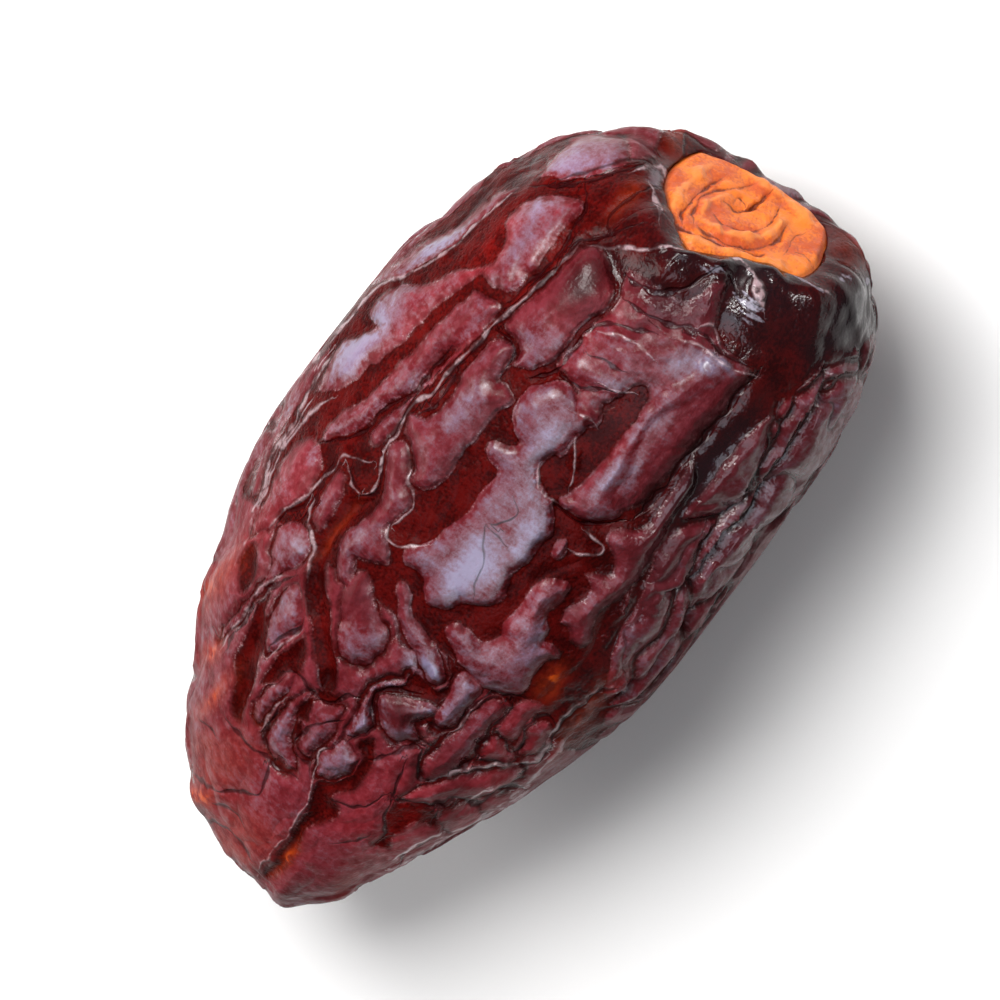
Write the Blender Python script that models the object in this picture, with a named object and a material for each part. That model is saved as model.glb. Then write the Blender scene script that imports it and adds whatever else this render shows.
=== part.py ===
# Medjool date lying on its side: a wrinkled fruit and the dry cap at its stem end.
# The fruit lies along X with the stem end at +X and the pointed tip at -X. Z is up.
# The origin is on the floor, under the middle of the bounding box.
# Lengths are in millimetres until the last step, which turns them into metres.

import math

import bmesh
import bpy
import numpy as np
from mathutils import Vector, noise
from mathutils.bvhtree import BVHTree

MILLIMETRE = 0.001
LENGTH = 55.0
HALF_LENGTH_STEM = 26.3
HALF_LENGTH_TIP = 27.5
HALF_WIDTH_LEFT = 14.4
HALF_WIDTH_RIGHT = 13.9
HALF_HEIGHT_TOP = 13.0
HALF_HEIGHT_BOTTOM = 13.3
MID_HEIGHT = 12.45
STEM_RISE = 4.7

# Exponents of the superellipse profile, tip half and stem half. Two is an ellipse,
# a smaller one is more pointed and a larger one is blunter.
PROFILE_LEFT = (2.35, 3.7)
PROFILE_RIGHT = (1.35, 3.4)
PROFILE_TOP = (1.8, 2.5)
PROFILE_BOTTOM = (1.75, 2.15)

# The centre line bows sideways: offset at the middle, slope, and bow.
CENTRE_Y = (1.5, 1.6, -1.9)
# Share of the stem half from where its rings start to lean like the seat.
LEAN_START = 0.35

SEGMENTS = 88
BODY_RINGS = 58
MERIDIAN_SAMPLES = 400

# The cap's seat. Its plane leans up and a little to +Y.
CAP_NORMAL = (0.952, 0.156, 0.264)
CAP_MEAN_RADIUS = 5.1
SEAT_DEPTH = 0.95
SEAT_GAP = 0.3
SEAT_WALL = 0.25
# Rings over the seat's floor, as shares of its radius, and over the rim, as distances.
FLOOR_RINGS = (0.0, 0.3, 0.6, 0.85, 1.0)
RIM_RINGS = (0.0, 0.45, 1.0, 1.7, 2.5)
RIM_HEIGHT = 0.35
RIM_LIFT = 0.3
RIM_REACH = 4.2
RIM_POWER = 0.6
WARP_FADE = (6.2, 11.0)
# The folds start between these distances outside the seat's wall.
RIM_PLAIN = (0.5, 3.0)

# Outline of the cap round its middle: degrees from +Y towards up, and radius.
CAP_OUTLINE = (
    (2, 5.0), (25, 4.85), (47, 4.95), (66, 5.75), (75, 6.2), (86, 5.3), (106, 4.3),
    (132, 4.3), (151, 5.4), (172, 5.25), (192, 5.2), (217, 5.75), (245, 4.95),
    (272, 4.7), (299, 5.3), (316, 6.0), (338, 5.35),
)
CAP_SEGMENTS = 48
CAP_RINGS = 20
CAP_THICKNESS = 0.75
CAP_EDGE = 0.5
CAP_EDGE_SHARE = 0.12
# Relief of the cap's face. Each one: share of the radius, width as a share, height.
CAP_RING = (0.62, 0.1, 0.35)
CAP_LIP = (0.93, 0.08, 0.15)
CAP_PIT = (0.0, 0.2, -0.3)
# Waves round the cap: count, height and phase.
CAP_WAVES = ((3, 0.12, 0.7), (5, 0.08, 2.0))

# The flat spot the fruit rests on.
FLAT_SOFTNESS = 0.25
FOLD_FADE_LOW = 0.3
FOLD_FADE_HIGH = 2.2

# The folds of the upper side are drawn on a plane that leans to the stem end.
# Each line: reach to either side, height (a groove is below zero), and its points,
# each one a distance along the plane to the stem end and a distance across it.
LEAN = math.radians(20.0)
LEAN_OFFSET = 1.45
RAY_LENGTH = 60.0
# A line is this strong at its ends and gets its full strength over the taper's length.
END_STRENGTH = 0.35
END_TAPER = 1.2

FOLDS = (
    (0.94, -1.49, ((-20.5, 5.8), (-18.9, 6.6), (-17.5, 7.7), (-16.1, 8.6), (-14.7, 9.5), (-12.9, 9.3))),
    (0.77, -0.88, ((-13.9, 10.9), (-13.0, 11.4), (-12.2, 11.8), (-11.6, 12.4))),
    (0.81, -1.4, ((-14.7, 3.1), (-14.0, 4.0), (-12.7, 5.6), (-11.7, 7.0), (-10.5, 7.9), (-9.0, 8.2),
                  (-7.8, 8.7), (-6.2, 8.8), (-5.4, 8.3))),
    (1.27, -1.58, ((-6.1, 5.6), (-4.7, 4.9), (-3.0, 4.6), (-1.2, 4.5), (1.4, 4.7))),
    (0.77, -1.05, ((1.4, 4.7), (4.0, 4.8), (5.1, 4.9), (6.8, 4.4), (8.4, 4.0))),
    (0.85, -0.97, ((2.1, 0.4), (3.1, -0.6), (4.9, 0.1), (6.6, 0.0), (9.3, -0.3))),
    (0.77, -1.05, ((-4.5, 13.9), (-3.0, 13.4), (-1.2, 12.9), (0.5, 12.4), (2.3, 11.9), (5.8, 11.9),
                 (7.5, 11.5), (8.5, 10.0), (8.75, 8.8))),
    (0.77, -0.97, ((6.8, 13.4), (10.2, 13.3), (11.9, 13.0), (14.2, 12.4), (15.4, 11.2), (16.6, 10.2),
                  (17.7, 8.8))),
    (0.77, -0.88, ((8.75, 8.9), (11.9, 8.6), (14.5, 8.4), (16.1, 8.9), (17.0, 9.6))),
    (0.77, -0.88, ((-26.2, -1.0), (-24.5, -0.9), (-22.7, -1.0), (-21.0, -0.9), (-17.8, -1.3))),
    (0.85, -1.05, ((-12.7, -0.4), (-11.7, -2.0), (-10.5, -2.2), (-9.6, -1.5), (-8.9, 1.1), (-8.2, 2.2),
                 (-6.9, 2.9))),
    (0.77, -0.97, ((-8.2, 0.9), (-6.4, -1.0), (-5.4, -1.7), (-3.4, -1.7), (-1.6, -1.5), (0.5, -1.0))),
    (0.7, -0.7, ((-4.8, -6.9), (-4.5, -4.8), (-1.7, -4.3), (-0.8, -5.0))),
    (0.7, -0.8, ((-15.5, -0.8), (-14.7, -2.7), (-13.6, -2.3), (-13.1, -3.8), (-10.1, -4.1), (-9.5, -5.6),
                  (-8.5, -7.3))),
    (0.7, -0.7, ((-24.0, 3.7), (-23.1, 3.0), (-21.2, 3.8), (-19.9, 4.5), (-18.0, 4.9))),
    (0.7, -0.7, ((-18.0, 3.7), (-16.6, 3.5), (-16.1, 2.4), (-15.2, 1.9))),
    (0.7, -0.8, ((-20.1, -4.6), (-18.2, -3.6), (-17.5, -5.2), (-16.1, -6.4), (-14.0, -8.3), (-12.7, -9.6))),
    (0.7, -0.7, ((6.8, 3.8), (7.9, 1.9), (8.9, 0.7))),
    (0.7, -0.7, ((9.3, 3.8), (11.0, 1.9), (11.9, -0.5))),
    (0.7, -0.7, ((11.9, 3.8), (12.8, 1.2), (13.3, -0.5))),
    (0.7, 0.61, ((-12.0, 12.5), (-9.4, 13.5), (-6.1, 14.5), (-3.4, 14.5), (-1.0, 14.8))),
    (0.72, 0.88, ((-3.0, 9.3), (1.4, 9.3), (4.9, 9.0), (9.3, 8.5), (13.7, 7.7), (14.7, 6.1), (16.1, 3.5),
                 (18.1, 0.7), (19.6, -2.0), (20.1, -5.7))),
    (0.7, 0.7, ((-12.7, 7.0), (-9.75, 8.6), (-8.2, 10.2), (-6.9, 10.9), (-4.5, 11.0), (-3.6, 9.8))),
    (0.7, 0.7, ((-7.3, 5.1), (-6.6, 5.9), (-3.6, 6.1), (-1.7, 7.7), (-1.2, 8.75))),
    (0.7, 0.8, ((-26.6, -0.9), (-24.5, -0.7), (-21.0, 0.0), (-19.9, 0.4), (-18.9, 1.3))),
    (0.7, 0.8, ((-17.1, 0.5), (-15.7, 0.95), (-14.0, 1.0), (-12.6, 0.1), (-11.7, 0.0), (-11.2, 1.2))),
    (0.7, 0.7, ((-16.1, -4.1), (-13.6, -6.6), (-11.7, -8.9), (-9.0, -8.8), (-4.8, -9.7))),
    (0.7, 0.61, ((-22.0, -6.4), (-19.2, -6.7), (-15.9, -8.0), (-12.9, -9.6), (-8.7, -10.1))),
    (0.7, 0.7, ((-0.4, -2.9), (0.7, -4.6), (1.1, -3.1), (1.1, -0.4), (2.1, 1.1), (3.1, 1.2))),
    (0.7, 0.61, ((1.2, -1.0), (2.3, -3.4), (4.0, -4.6))),
    (0.7, 0.61, ((13.0, -0.1), (13.7, -3.8), (14.3, -5.0))),
    (0.7, 0.88, ((16.5, 0.4), (17.5, -1.5), (16.5, -3.8))),
)

# The net of folds that covers the rest of the skin: cell size along and around the
# fruit, how far noise bends it, groove reach and groove depth.
NET_ALONG = 8.5
NET_AROUND = 4.0
NET_BEND = 1.6
NET_BEND_SIZE = 6.0
NET_REACH = 0.36
NET_DEPTH = 0.95
NET_FRONT = (0.25, 0.6)
NET_FRONT_SHARE = 0.5
NET_ORIGIN = (31.7, 12.9, 47.3)
NOISE_SEED = 11

# Wide swells under the folds, and the puckers round the seat.
SWELL_SIZE = 9.0
SWELL_HEIGHT = 0.45
PUCKERS = ((9, 0.4, 0.16), (14, 1.9, 0.16), (21, 4.1, 0.1))
PUCKER_START = 0.8
PUCKER_FADE = (1.5, 6.0)

TINY = 1e-6

SKIN = ("date_skin", (0.19, 0.045, 0.04), 0.38)
CAP = ("dry_cap", (0.90, 0.36, 0.12), 0.75)


def smooth(low, high, value):
    share = np.clip((value - low) / (high - low), 0.0, 1.0)
    return share * share * (3.0 - 2.0 * share)


def clear_scene():
    for item in list(bpy.data.objects):
        bpy.data.objects.remove(item)
    noise.seed_set(NOISE_SEED)


def material(name, colour, roughness):
    made = bpy.data.materials.new(name)
    made.use_nodes = True
    shader = made.node_tree.nodes["Principled BSDF"]
    shader.inputs["Base Color"].default_value = (*colour, 1.0)
    shader.inputs["Roughness"].default_value = roughness
    shader.inputs["Metallic"].default_value = 0.0
    return made


def profile(x, exponents):
    # A superellipse's half-width from 0 at the tip (x = -1) to 1 and back to 0 at x = 1.
    power = np.where(x < 0.0, exponents[0], exponents[1])
    return np.maximum(1.0 - np.abs(x) ** power, 0.0) ** (1.0 / power)


def seat_axes():
    # The seat's normal, its sideways direction and its upward direction.
    normal = np.array(CAP_NORMAL) / np.linalg.norm(CAP_NORMAL)
    side = np.array((-normal[1], normal[0], 0.0))
    side /= np.linalg.norm(side)
    return normal, side, np.cross(normal, side)


def cap_radius(angle):
    degrees = np.degrees(angle) % 360.0
    turns = [entry[0] for entry in CAP_OUTLINE]
    radii = [entry[1] for entry in CAP_OUTLINE]
    return np.interp(degrees, turns, radii, period=360.0)


def meridian(angle):
    # One line over the smooth fruit from the stem pole to the tip.
    x = np.cos(np.linspace(0.0, math.pi, MERIDIAN_SAMPLES))
    wide = HALF_WIDTH_LEFT * profile(x, PROFILE_LEFT)
    if math.cos(angle) < 0.0:
        wide = HALF_WIDTH_RIGHT * profile(x, PROFILE_RIGHT)
    high = HALF_HEIGHT_TOP * profile(x, PROFILE_TOP)
    if math.sin(angle) < 0.0:
        high = HALF_HEIGHT_BOTTOM * profile(x, PROFILE_BOTTOM)
    across = wide * math.cos(angle)
    above = high * math.sin(angle)
    half = np.where(x < 0.0, HALF_LENGTH_TIP, HALF_LENGTH_STEM)
    normal = seat_axes()[0]
    lean = smooth(LEAN_START, 1.0, x)
    along = half * x - lean * (normal[1] * across + normal[2] * above) / normal[0]
    centre_y = CENTRE_Y[0] + CENTRE_Y[1] * x + CENTRE_Y[2] * x * x
    centre_z = MID_HEIGHT + STEM_RISE * np.maximum(x, 0.0) ** 3
    return np.stack((along, centre_y + across, centre_z + above), axis=1)


def ring_distances():
    # Arc lengths from the stem pole: the seat's floor, its wall, the rim, then the body.
    foot = CAP_MEAN_RADIUS + SEAT_GAP
    floor = [share * foot for share in FLOOR_RINGS]
    rim = [foot + SEAT_WALL + distance for distance in RIM_RINGS]
    return floor + rim


def smooth_body(fruit):
    # Moves the sphere's rings onto the fruit; returns the arc length of every vertex.
    near = ring_distances()
    angles = np.arange(SEGMENTS) * 2.0 * math.pi / SEGMENTS
    rows = len(near) + BODY_RINGS
    grid = np.zeros((rows, SEGMENTS, 3))
    arcs = np.zeros((rows, SEGMENTS))
    for column, angle in enumerate(angles):
        line = meridian(angle)
        steps = np.linalg.norm(np.diff(line, axis=0), axis=1)
        arc = np.concatenate(((0.0,), np.cumsum(steps)))
        rest = np.linspace(near[-1], arc[-1], BODY_RINGS + 1)[1:]
        wanted = np.concatenate((near, rest))
        arcs[:, column] = wanted
        for axis in range(3):
            grid[:, column, axis] = np.interp(wanted, arc, line[:, axis])

    where = []
    for vert in fruit.verts:
        row = round(math.acos(max(-1.0, min(1.0, vert.co.z))) / math.pi * (rows - 1))
        turn = math.atan2(vert.co.y, vert.co.x) / (2.0 * math.pi)
        column = round(turn * SEGMENTS) % SEGMENTS
        where.append((row, column))
    rows_of = np.array([pair[0] for pair in where])
    columns_of = np.array([pair[1] for pair in where])
    return grid[rows_of, columns_of], arcs[rows_of, columns_of]


def seat(points, arcs, centre):
    # Presses the seat into the stem end and bends the rings near it to the cap's outline.
    normal, side, up = seat_axes()
    away = points - centre
    a, b = away @ side, away @ up
    height = away @ normal
    radius = np.hypot(a, b)
    angle = np.arctan2(b, a)
    shape = cap_radius(angle) / CAP_MEAN_RADIUS
    share = 1.0 - smooth(WARP_FADE[0], WARP_FADE[1], arcs)
    radius = radius * (1.0 + share * (shape - 1.0))
    foot = CAP_MEAN_RADIUS + SEAT_GAP
    inside = arcs <= foot + TINY
    outward = arcs - foot - SEAT_WALL
    plane = np.median(height[np.abs(outward) < TINY])
    # The floor grows with the outline and keeps an even gap round the cap.
    floor_radius = cap_radius(angle) + SEAT_GAP
    radius = np.where(inside, floor_radius * arcs / foot, radius)
    level = 1.0 - smooth(0.0, RIM_REACH, outward)
    pucker = np.zeros(len(points))
    for count, phase, size in PUCKERS:
        pucker += size * np.sin(count * angle + phase)
    swell = np.sin(math.pi * np.clip(outward / RIM_REACH, 0.0, 1.0) ** RIM_POWER)
    bulge = (RIM_HEIGHT + RIM_LIFT * np.sin(angle)) * swell
    started = np.clip(outward / PUCKER_START, 0.0, 1.0)
    fold = pucker * started * (1.0 - smooth(PUCKER_FADE[0], PUCKER_FADE[1], outward))
    raised = height * (1.0 - level) + plane * level + bulge + fold
    height = np.where(inside, plane - SEAT_DEPTH, raised)
    flat = np.outer(radius * np.cos(angle), side) + np.outer(radius * np.sin(angle), up)
    return centre + flat + np.outer(height, normal), plane


def normals_of(fruit, points):
    for vert, point in zip(fruit.verts, points):
        vert.co = Vector(point)
    fruit.normal_update()
    return np.array([tuple(vert.normal) for vert in fruit.verts])


def lines_on_skin(fruit, middle):
    # Raises the drawn fold lines from their plane onto the smooth skin.
    tree = BVHTree.FromBMesh(fruit)
    along = Vector((math.cos(LEAN), 0.0, -math.sin(LEAN)))
    out = Vector((math.sin(LEAN), 0.0, math.cos(LEAN)))
    lines = []
    for reach, height, drawn in FOLDS:
        raised = []
        for u, v in drawn:
            drawn_at = Vector(middle) + along * (u + LEAN_OFFSET) + Vector((0.0, v, 0.0))
            hit = tree.ray_cast(drawn_at + out * RAY_LENGTH, -out)[0]
            if hit is None:
                hit = tree.find_nearest(drawn_at)[0]
            raised.append(tuple(hit))
        lines.append((reach, height, np.array(raised)))
    return lines


def line_relief(points, lines):
    # The deepest groove and the highest crest that reach each point.
    groove = np.zeros(len(points))
    crest = np.zeros(len(points))
    for reach, height, line in lines:
        lengths = np.linalg.norm(np.diff(line, axis=0), axis=1)
        total = lengths.sum()
        begin = 0.0
        strength = np.zeros(len(points))
        for first, last, length in zip(line[:-1], line[1:], lengths):
            direction = (last - first) / length
            spot = np.clip((points - first) @ direction, 0.0, length)
            nearest = first + np.outer(spot, direction)
            distance = np.linalg.norm(points - nearest, axis=1)
            place = begin + spot
            ends = np.minimum(place, total - place) / END_TAPER
            taper = END_STRENGTH + (1.0 - END_STRENGTH) * smooth(0.0, 1.0, ends)
            strength = np.maximum(strength, taper * np.exp(-((distance / reach) ** 2)))
            begin += length
        if height < 0.0:
            groove = np.minimum(groove, height * strength)
        else:
            crest = np.maximum(crest, height * strength)
    return groove + crest


def net_relief(points):
    # Grooves along the borders of long cells, bent by noise.
    relief = np.zeros(len(points))
    for index, point in enumerate(points):
        bend = noise.noise_vector(Vector(point) / NET_BEND_SIZE) * NET_BEND
        moved = Vector(point) + bend
        cell = Vector((moved.x / NET_ALONG, moved.y / NET_AROUND, moved.z / NET_AROUND))
        near = noise.voronoi(cell + Vector(NET_ORIGIN))[0]
        border = near[1] - near[0]
        relief[index] = -NET_DEPTH * math.exp(-((border / NET_REACH) ** 2))
    return relief


def swell_relief(points):
    relief = [noise.noise(Vector(point) / SWELL_SIZE) for point in points]
    return SWELL_HEIGHT * np.array(relief)


def press_flat(height):
    # Rounds the underside into the plane Z = 0 without going below it.
    soft = (height + FLAT_SOFTNESS) ** 2 / (4.0 * FLAT_SOFTNESS)
    pressed = np.where(height < FLAT_SOFTNESS, soft, height)
    return np.where(height < -FLAT_SOFTNESS, 0.0, pressed)


def finish(name, shape, slot, collection):
    for face in shape.faces:
        face.smooth = True
    mesh = bpy.data.meshes.new(name)
    shape.to_mesh(mesh)
    shape.free()
    mesh.materials.append(material(*slot))
    made = bpy.data.objects.new(name, mesh)
    collection.objects.link(made)
    return made


def build_fruit():
    rings = len(ring_distances()) + BODY_RINGS - 1
    fruit = bmesh.new()
    bmesh.ops.create_uvsphere(fruit, u_segments=SEGMENTS, v_segments=rings, radius=1.0)
    # The sphere's pole axis becomes X: its X, Y and Z turn to Y, Z and X.
    points, arcs = smooth_body(fruit)
    centre = points[np.argmin(arcs)]
    plain = normals_of(fruit, points)
    lines = lines_on_skin(fruit, (0.0, 0.0, MID_HEIGHT))
    facing = plain @ np.array((math.sin(LEAN), 0.0, math.cos(LEAN)))
    front = smooth(NET_FRONT[0], NET_FRONT[1], facing)
    share = 1.0 - (1.0 - NET_FRONT_SHARE) * front
    relief = line_relief(points, lines) + share * net_relief(points) + swell_relief(points)
    outward = arcs - CAP_MEAN_RADIUS - SEAT_GAP - SEAT_WALL
    relief *= smooth(RIM_PLAIN[0], RIM_PLAIN[1], outward)
    relief *= smooth(FOLD_FADE_LOW, FOLD_FADE_HIGH, points[:, 2])
    folded = points + plain * relief[:, None]
    seated, plane = seat(folded, arcs, centre)
    seated[:, 2] = press_flat(seated[:, 2])
    return fruit, seated, centre, plane


def bump(share, shape):
    # One round ridge of the cap, or its pit: where it is, how wide and how high.
    return shape[2] * math.exp(-(((share - shape[0]) / shape[1]) ** 2))


def build_cap(centre, plane):
    # A thin disc with a turned-up edge, an inner ring and a pit over the stem scar.
    normal, side, up = seat_axes()
    cap = bmesh.new()
    bmesh.ops.create_uvsphere(cap, u_segments=CAP_SEGMENTS, v_segments=CAP_RINGS, radius=1.0)
    base = plane - SEAT_DEPTH + SEAT_GAP
    points = []
    for vert in cap.verts:
        polar = math.acos(max(-1.0, min(1.0, vert.co.z)))
        angle = math.atan2(vert.co.y, vert.co.x)
        upper = polar <= math.pi / 2.0 + TINY
        share = min(1.0, polar / (math.pi / 2.0)) if upper else (math.pi - polar) / (math.pi / 2.0)
        radius = float(cap_radius(np.array(angle))) * share
        height = 0.0
        if upper:
            height = CAP_THICKNESS + bump(share, CAP_RING) + bump(share, CAP_LIP) + bump(share, CAP_PIT)
            for count, size, phase in CAP_WAVES:
                height += share * size * math.sin(count * angle + phase)
            kept = float(smooth(0.0, CAP_EDGE_SHARE, 1.0 - share))
            height = CAP_EDGE + (height - CAP_EDGE) * kept
        flat = side * radius * math.cos(angle) + up * radius * math.sin(angle)
        points.append(centre + flat + normal * (base + height))
    return cap, np.array(points)


def place(shape, points, shift, scale):
    for vert, point in zip(shape.verts, points):
        vert.co = Vector((point + shift) * scale * MILLIMETRE)
    shape.normal_update()


def main():
    clear_scene()
    collection = bpy.data.collections.new("medjool_date")
    bpy.context.scene.collection.children.link(collection)
    fruit, fruit_points, centre, plane = build_fruit()
    cap, cap_points = build_cap(centre, plane)
    every = np.concatenate((fruit_points, cap_points))
    low, high = every.min(axis=0), every.max(axis=0)
    shift = np.array((-(low[0] + high[0]) / 2.0, -(low[1] + high[1]) / 2.0, -low[2]))
    scale = LENGTH / (high[0] - low[0])
    place(fruit, fruit_points, shift, scale)
    place(cap, cap_points, shift, scale)
    finish("date_fruit", fruit, SKIN, collection)
    finish("calyx_cap", cap, CAP, collection)
    print("size in millimetres", (high - low) * scale, "scale", scale)


main()
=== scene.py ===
# %% [markdown]
# # A medjool date lying on its side
#
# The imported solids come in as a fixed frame: a wrinkled fruit and the dry cap at its stem
# end. Everything below dresses those two pieces. The frame is in metres, with X along the
# date to its stem end, Z up, and the date resting on Z = 0.

# %% Load the frame
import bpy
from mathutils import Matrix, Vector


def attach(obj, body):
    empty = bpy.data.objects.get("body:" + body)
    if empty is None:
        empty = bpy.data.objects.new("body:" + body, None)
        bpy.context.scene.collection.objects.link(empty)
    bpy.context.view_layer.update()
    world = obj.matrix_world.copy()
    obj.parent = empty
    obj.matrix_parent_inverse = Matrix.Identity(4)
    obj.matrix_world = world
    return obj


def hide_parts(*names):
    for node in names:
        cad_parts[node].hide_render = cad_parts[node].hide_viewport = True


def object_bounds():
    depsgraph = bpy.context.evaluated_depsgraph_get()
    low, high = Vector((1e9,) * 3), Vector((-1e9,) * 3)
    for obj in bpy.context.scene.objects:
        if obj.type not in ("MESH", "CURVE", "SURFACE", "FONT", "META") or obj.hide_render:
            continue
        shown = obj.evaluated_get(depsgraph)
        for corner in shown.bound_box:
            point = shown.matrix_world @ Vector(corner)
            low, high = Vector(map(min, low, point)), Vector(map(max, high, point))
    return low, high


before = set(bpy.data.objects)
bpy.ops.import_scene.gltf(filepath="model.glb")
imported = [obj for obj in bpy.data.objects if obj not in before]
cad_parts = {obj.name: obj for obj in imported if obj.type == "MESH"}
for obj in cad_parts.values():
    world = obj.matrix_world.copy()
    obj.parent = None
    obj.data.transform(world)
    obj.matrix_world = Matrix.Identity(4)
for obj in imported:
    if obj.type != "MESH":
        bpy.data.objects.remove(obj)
solid_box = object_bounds()
print("solids' box:", solid_box)

# %% Modules
import math

import bmesh
import bpy
import numpy as np
from mathutils import Matrix, Vector, noise

MILLIMETRE = 0.001
noise.seed_set(11)


def smooth(low, high, value):
    share = np.clip((value - low) / (high - low), 0.0, 1.0)
    return share * share * (3.0 - 2.0 * share)


def fade(edge, value):
    """The smooth step over an edge that is kept as one pair of numbers."""
    return smooth(edge[0], edge[1], value)


def colour(code):
    """A web colour such as "8a5a66" as the linear red, green and blue that Blender uses."""
    parts = [int(code[place:place + 2], 16) / 255.0 for place in (0, 2, 4)]
    return tuple(part / 12.92 if part <= 0.04045 else ((part + 0.055) / 1.055) ** 2.4 for part in parts)


# %% [markdown]
# ## Camera
#
# The photograph looks down on the date's flank with the stem end tipped a little towards
# the lens, and with the date standing on a slant in the frame. Here the date lies down, so
# the camera looks from above, leans 20 degrees to the stem end and is rolled by 52 degrees.
# A long lens keeps the outline as flat as the photograph's.

# %% Camera
LEAN = math.radians(20.0)
ROLL = math.radians(52.0)
TOWARDS_CAMERA = Vector((math.sin(LEAN), 0.0, math.cos(LEAN)))
ALONG = Vector((math.cos(LEAN), 0.0, -math.sin(LEAN)))
ACROSS = Vector((0.0, 1.0, 0.0))
PICTURE_RIGHT = ALONG * math.cos(ROLL) - ACROSS * math.sin(ROLL)
PICTURE_UP = ALONG * math.sin(ROLL) + ACROSS * math.cos(ROLL)
DATE_MIDDLE = Vector((0.0, 0.0, 0.0125))
LENS = 520.0
SENSOR = 36.0
FRAME_WIDTH = 0.0590
AIM = (0.0002, 0.0006)

camera_data = bpy.data.cameras.new("camera")
camera_data.lens = LENS
camera_data.sensor_width = SENSOR
camera_data.clip_start = 0.01
camera = bpy.data.objects.new("camera", camera_data)
bpy.context.scene.collection.objects.link(camera)
distance = FRAME_WIDTH * LENS / SENSOR
turned = Matrix((PICTURE_RIGHT, PICTURE_UP, TOWARDS_CAMERA)).transposed().to_4x4()
aimed = DATE_MIDDLE + PICTURE_RIGHT * AIM[0] + PICTURE_UP * AIM[1]
turned.translation = aimed + TOWARDS_CAMERA * distance
camera.matrix_world = turned
bpy.context.scene.camera = camera
print("camera is", round(distance, 3), "m from the date")

# %% [markdown]
# ## Floor and light
#
# A pale table fills the frame. The main soft lamp stands over the date at the picture's
# upper left and throws the shadow to the lower right. A weak low lamp comes from the left
# side, and the pale surroundings fill the shadows. Three more lamps show only in
# reflections: a broad bluish one is the sheen on the waxy skin, and two small ones are the
# glints.

# %% Floor and light
FLOOR_COLOUR = (0.9, 0.9, 0.9)
FLOOR_SIZE = 1.6
SURROUNDINGS_STRENGTH = 0.21
# Each: name, millimetres right, up and out of the picture, size, watts, tint, only in reflections.
LAMPS = (
    ("sheen_lamp", -30.0, -165.0, 285.0, 240.0, 1.0, (0.8, 0.87, 1.0), True),
    ("left_lamp", -115.0, 105.0, 315.0, 200.0, 2.0, (1.0, 0.99, 0.98), False),
    ("side_lamp", -290.0, 10.0, 60.0, 160.0, 0.4, (1.0, 0.97, 0.96), False),
    ("spark_lamp", -140.0, 60.0, 300.0, 30.0, 0.25, (1.0, 1.0, 1.0), True),
    ("glint_lamp", 110.0, -20.0, 320.0, 40.0, 0.42, (1.0, 1.0, 1.0), True),
)

floor_mesh = bpy.data.meshes.new("floor")
floor_shape = bmesh.new()
bmesh.ops.create_grid(floor_shape, x_segments=8, y_segments=8, size=FLOOR_SIZE / 2.0)
floor_shape.to_mesh(floor_mesh)
floor_shape.free()
floor = bpy.data.objects.new("floor", floor_mesh)
bpy.context.scene.collection.objects.link(floor)


def lamp(name, right, up, out, size, power, tint, only_sheen):
    """A square soft lamp that looks at the date."""
    data = bpy.data.lights.new(name, "AREA")
    data.shape = "SQUARE"
    data.size = size * MILLIMETRE
    data.energy = power
    data.color = tint
    made = bpy.data.objects.new(name, data)
    place = DATE_MIDDLE + (PICTURE_RIGHT * right + PICTURE_UP * up + TOWARDS_CAMERA * out) * MILLIMETRE
    made.location = place
    made.rotation_mode = "QUATERNION"
    made.rotation_quaternion = (DATE_MIDDLE - place).to_track_quat("-Z", "Y")
    made.visible_diffuse = not only_sheen
    bpy.context.scene.collection.objects.link(made)


for row in LAMPS:
    lamp(*row)

surroundings = bpy.data.worlds.new("surroundings")
surroundings.use_nodes = True
surroundings.node_tree.nodes["Background"].inputs["Color"].default_value = (1.0, 1.0, 1.0, 1.0)
surroundings.node_tree.nodes["Background"].inputs["Strength"].default_value = SURROUNDINGS_STRENGTH
bpy.context.scene.world = surroundings
bpy.context.scene.view_settings.view_transform = "Standard"

# %% [markdown]
# ## Node trees as sums
#
# Shader and geometry trees are easier to read as sums than as lists of links. A small
# class wraps an output socket, so that adding or multiplying two of them makes the Math
# node, and one function makes every other kind of node.

# %% Sums that make nodes


class Value:
    """An output socket that can stand in a sum."""

    def __init__(self, tree, socket):
        self.tree = tree
        self.socket = socket

    def maths(self, operation, *items, clamp=False):
        made = self.tree.nodes.new("ShaderNodeMath")
        made.operation = operation
        made.use_clamp = clamp
        for slot, item in zip(made.inputs, items):
            feed(self.tree, slot, item)
        return Value(self.tree, made.outputs[0])

    def __add__(self, other):
        return self.maths("ADD", self, other)

    def __radd__(self, other):
        return self.maths("ADD", other, self)

    def __sub__(self, other):
        return self.maths("SUBTRACT", self, other)

    def __rsub__(self, other):
        return self.maths("SUBTRACT", other, self)

    def __mul__(self, other):
        return self.maths("MULTIPLY", self, other)

    def __truediv__(self, other):
        return self.maths("DIVIDE", self, other)

    def __rtruediv__(self, other):
        return self.maths("DIVIDE", other, self)

    def __neg__(self):
        return self.maths("MULTIPLY", self, -1.0)

    def size(self):
        return self.maths("ABSOLUTE", self)

    def exponent(self):
        return self.maths("EXPONENT", self)

    def clamped(self):
        return self.maths("ADD", self, 0.0, clamp=True)

    def least(self, other):
        return self.maths("MINIMUM", self, other)

    def most(self, other):
        return self.maths("MAXIMUM", self, other)


def feed(tree, slot, item):
    if isinstance(item, Value):
        tree.links.new(item.socket, slot)
    else:
        slot.default_value = item


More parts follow.
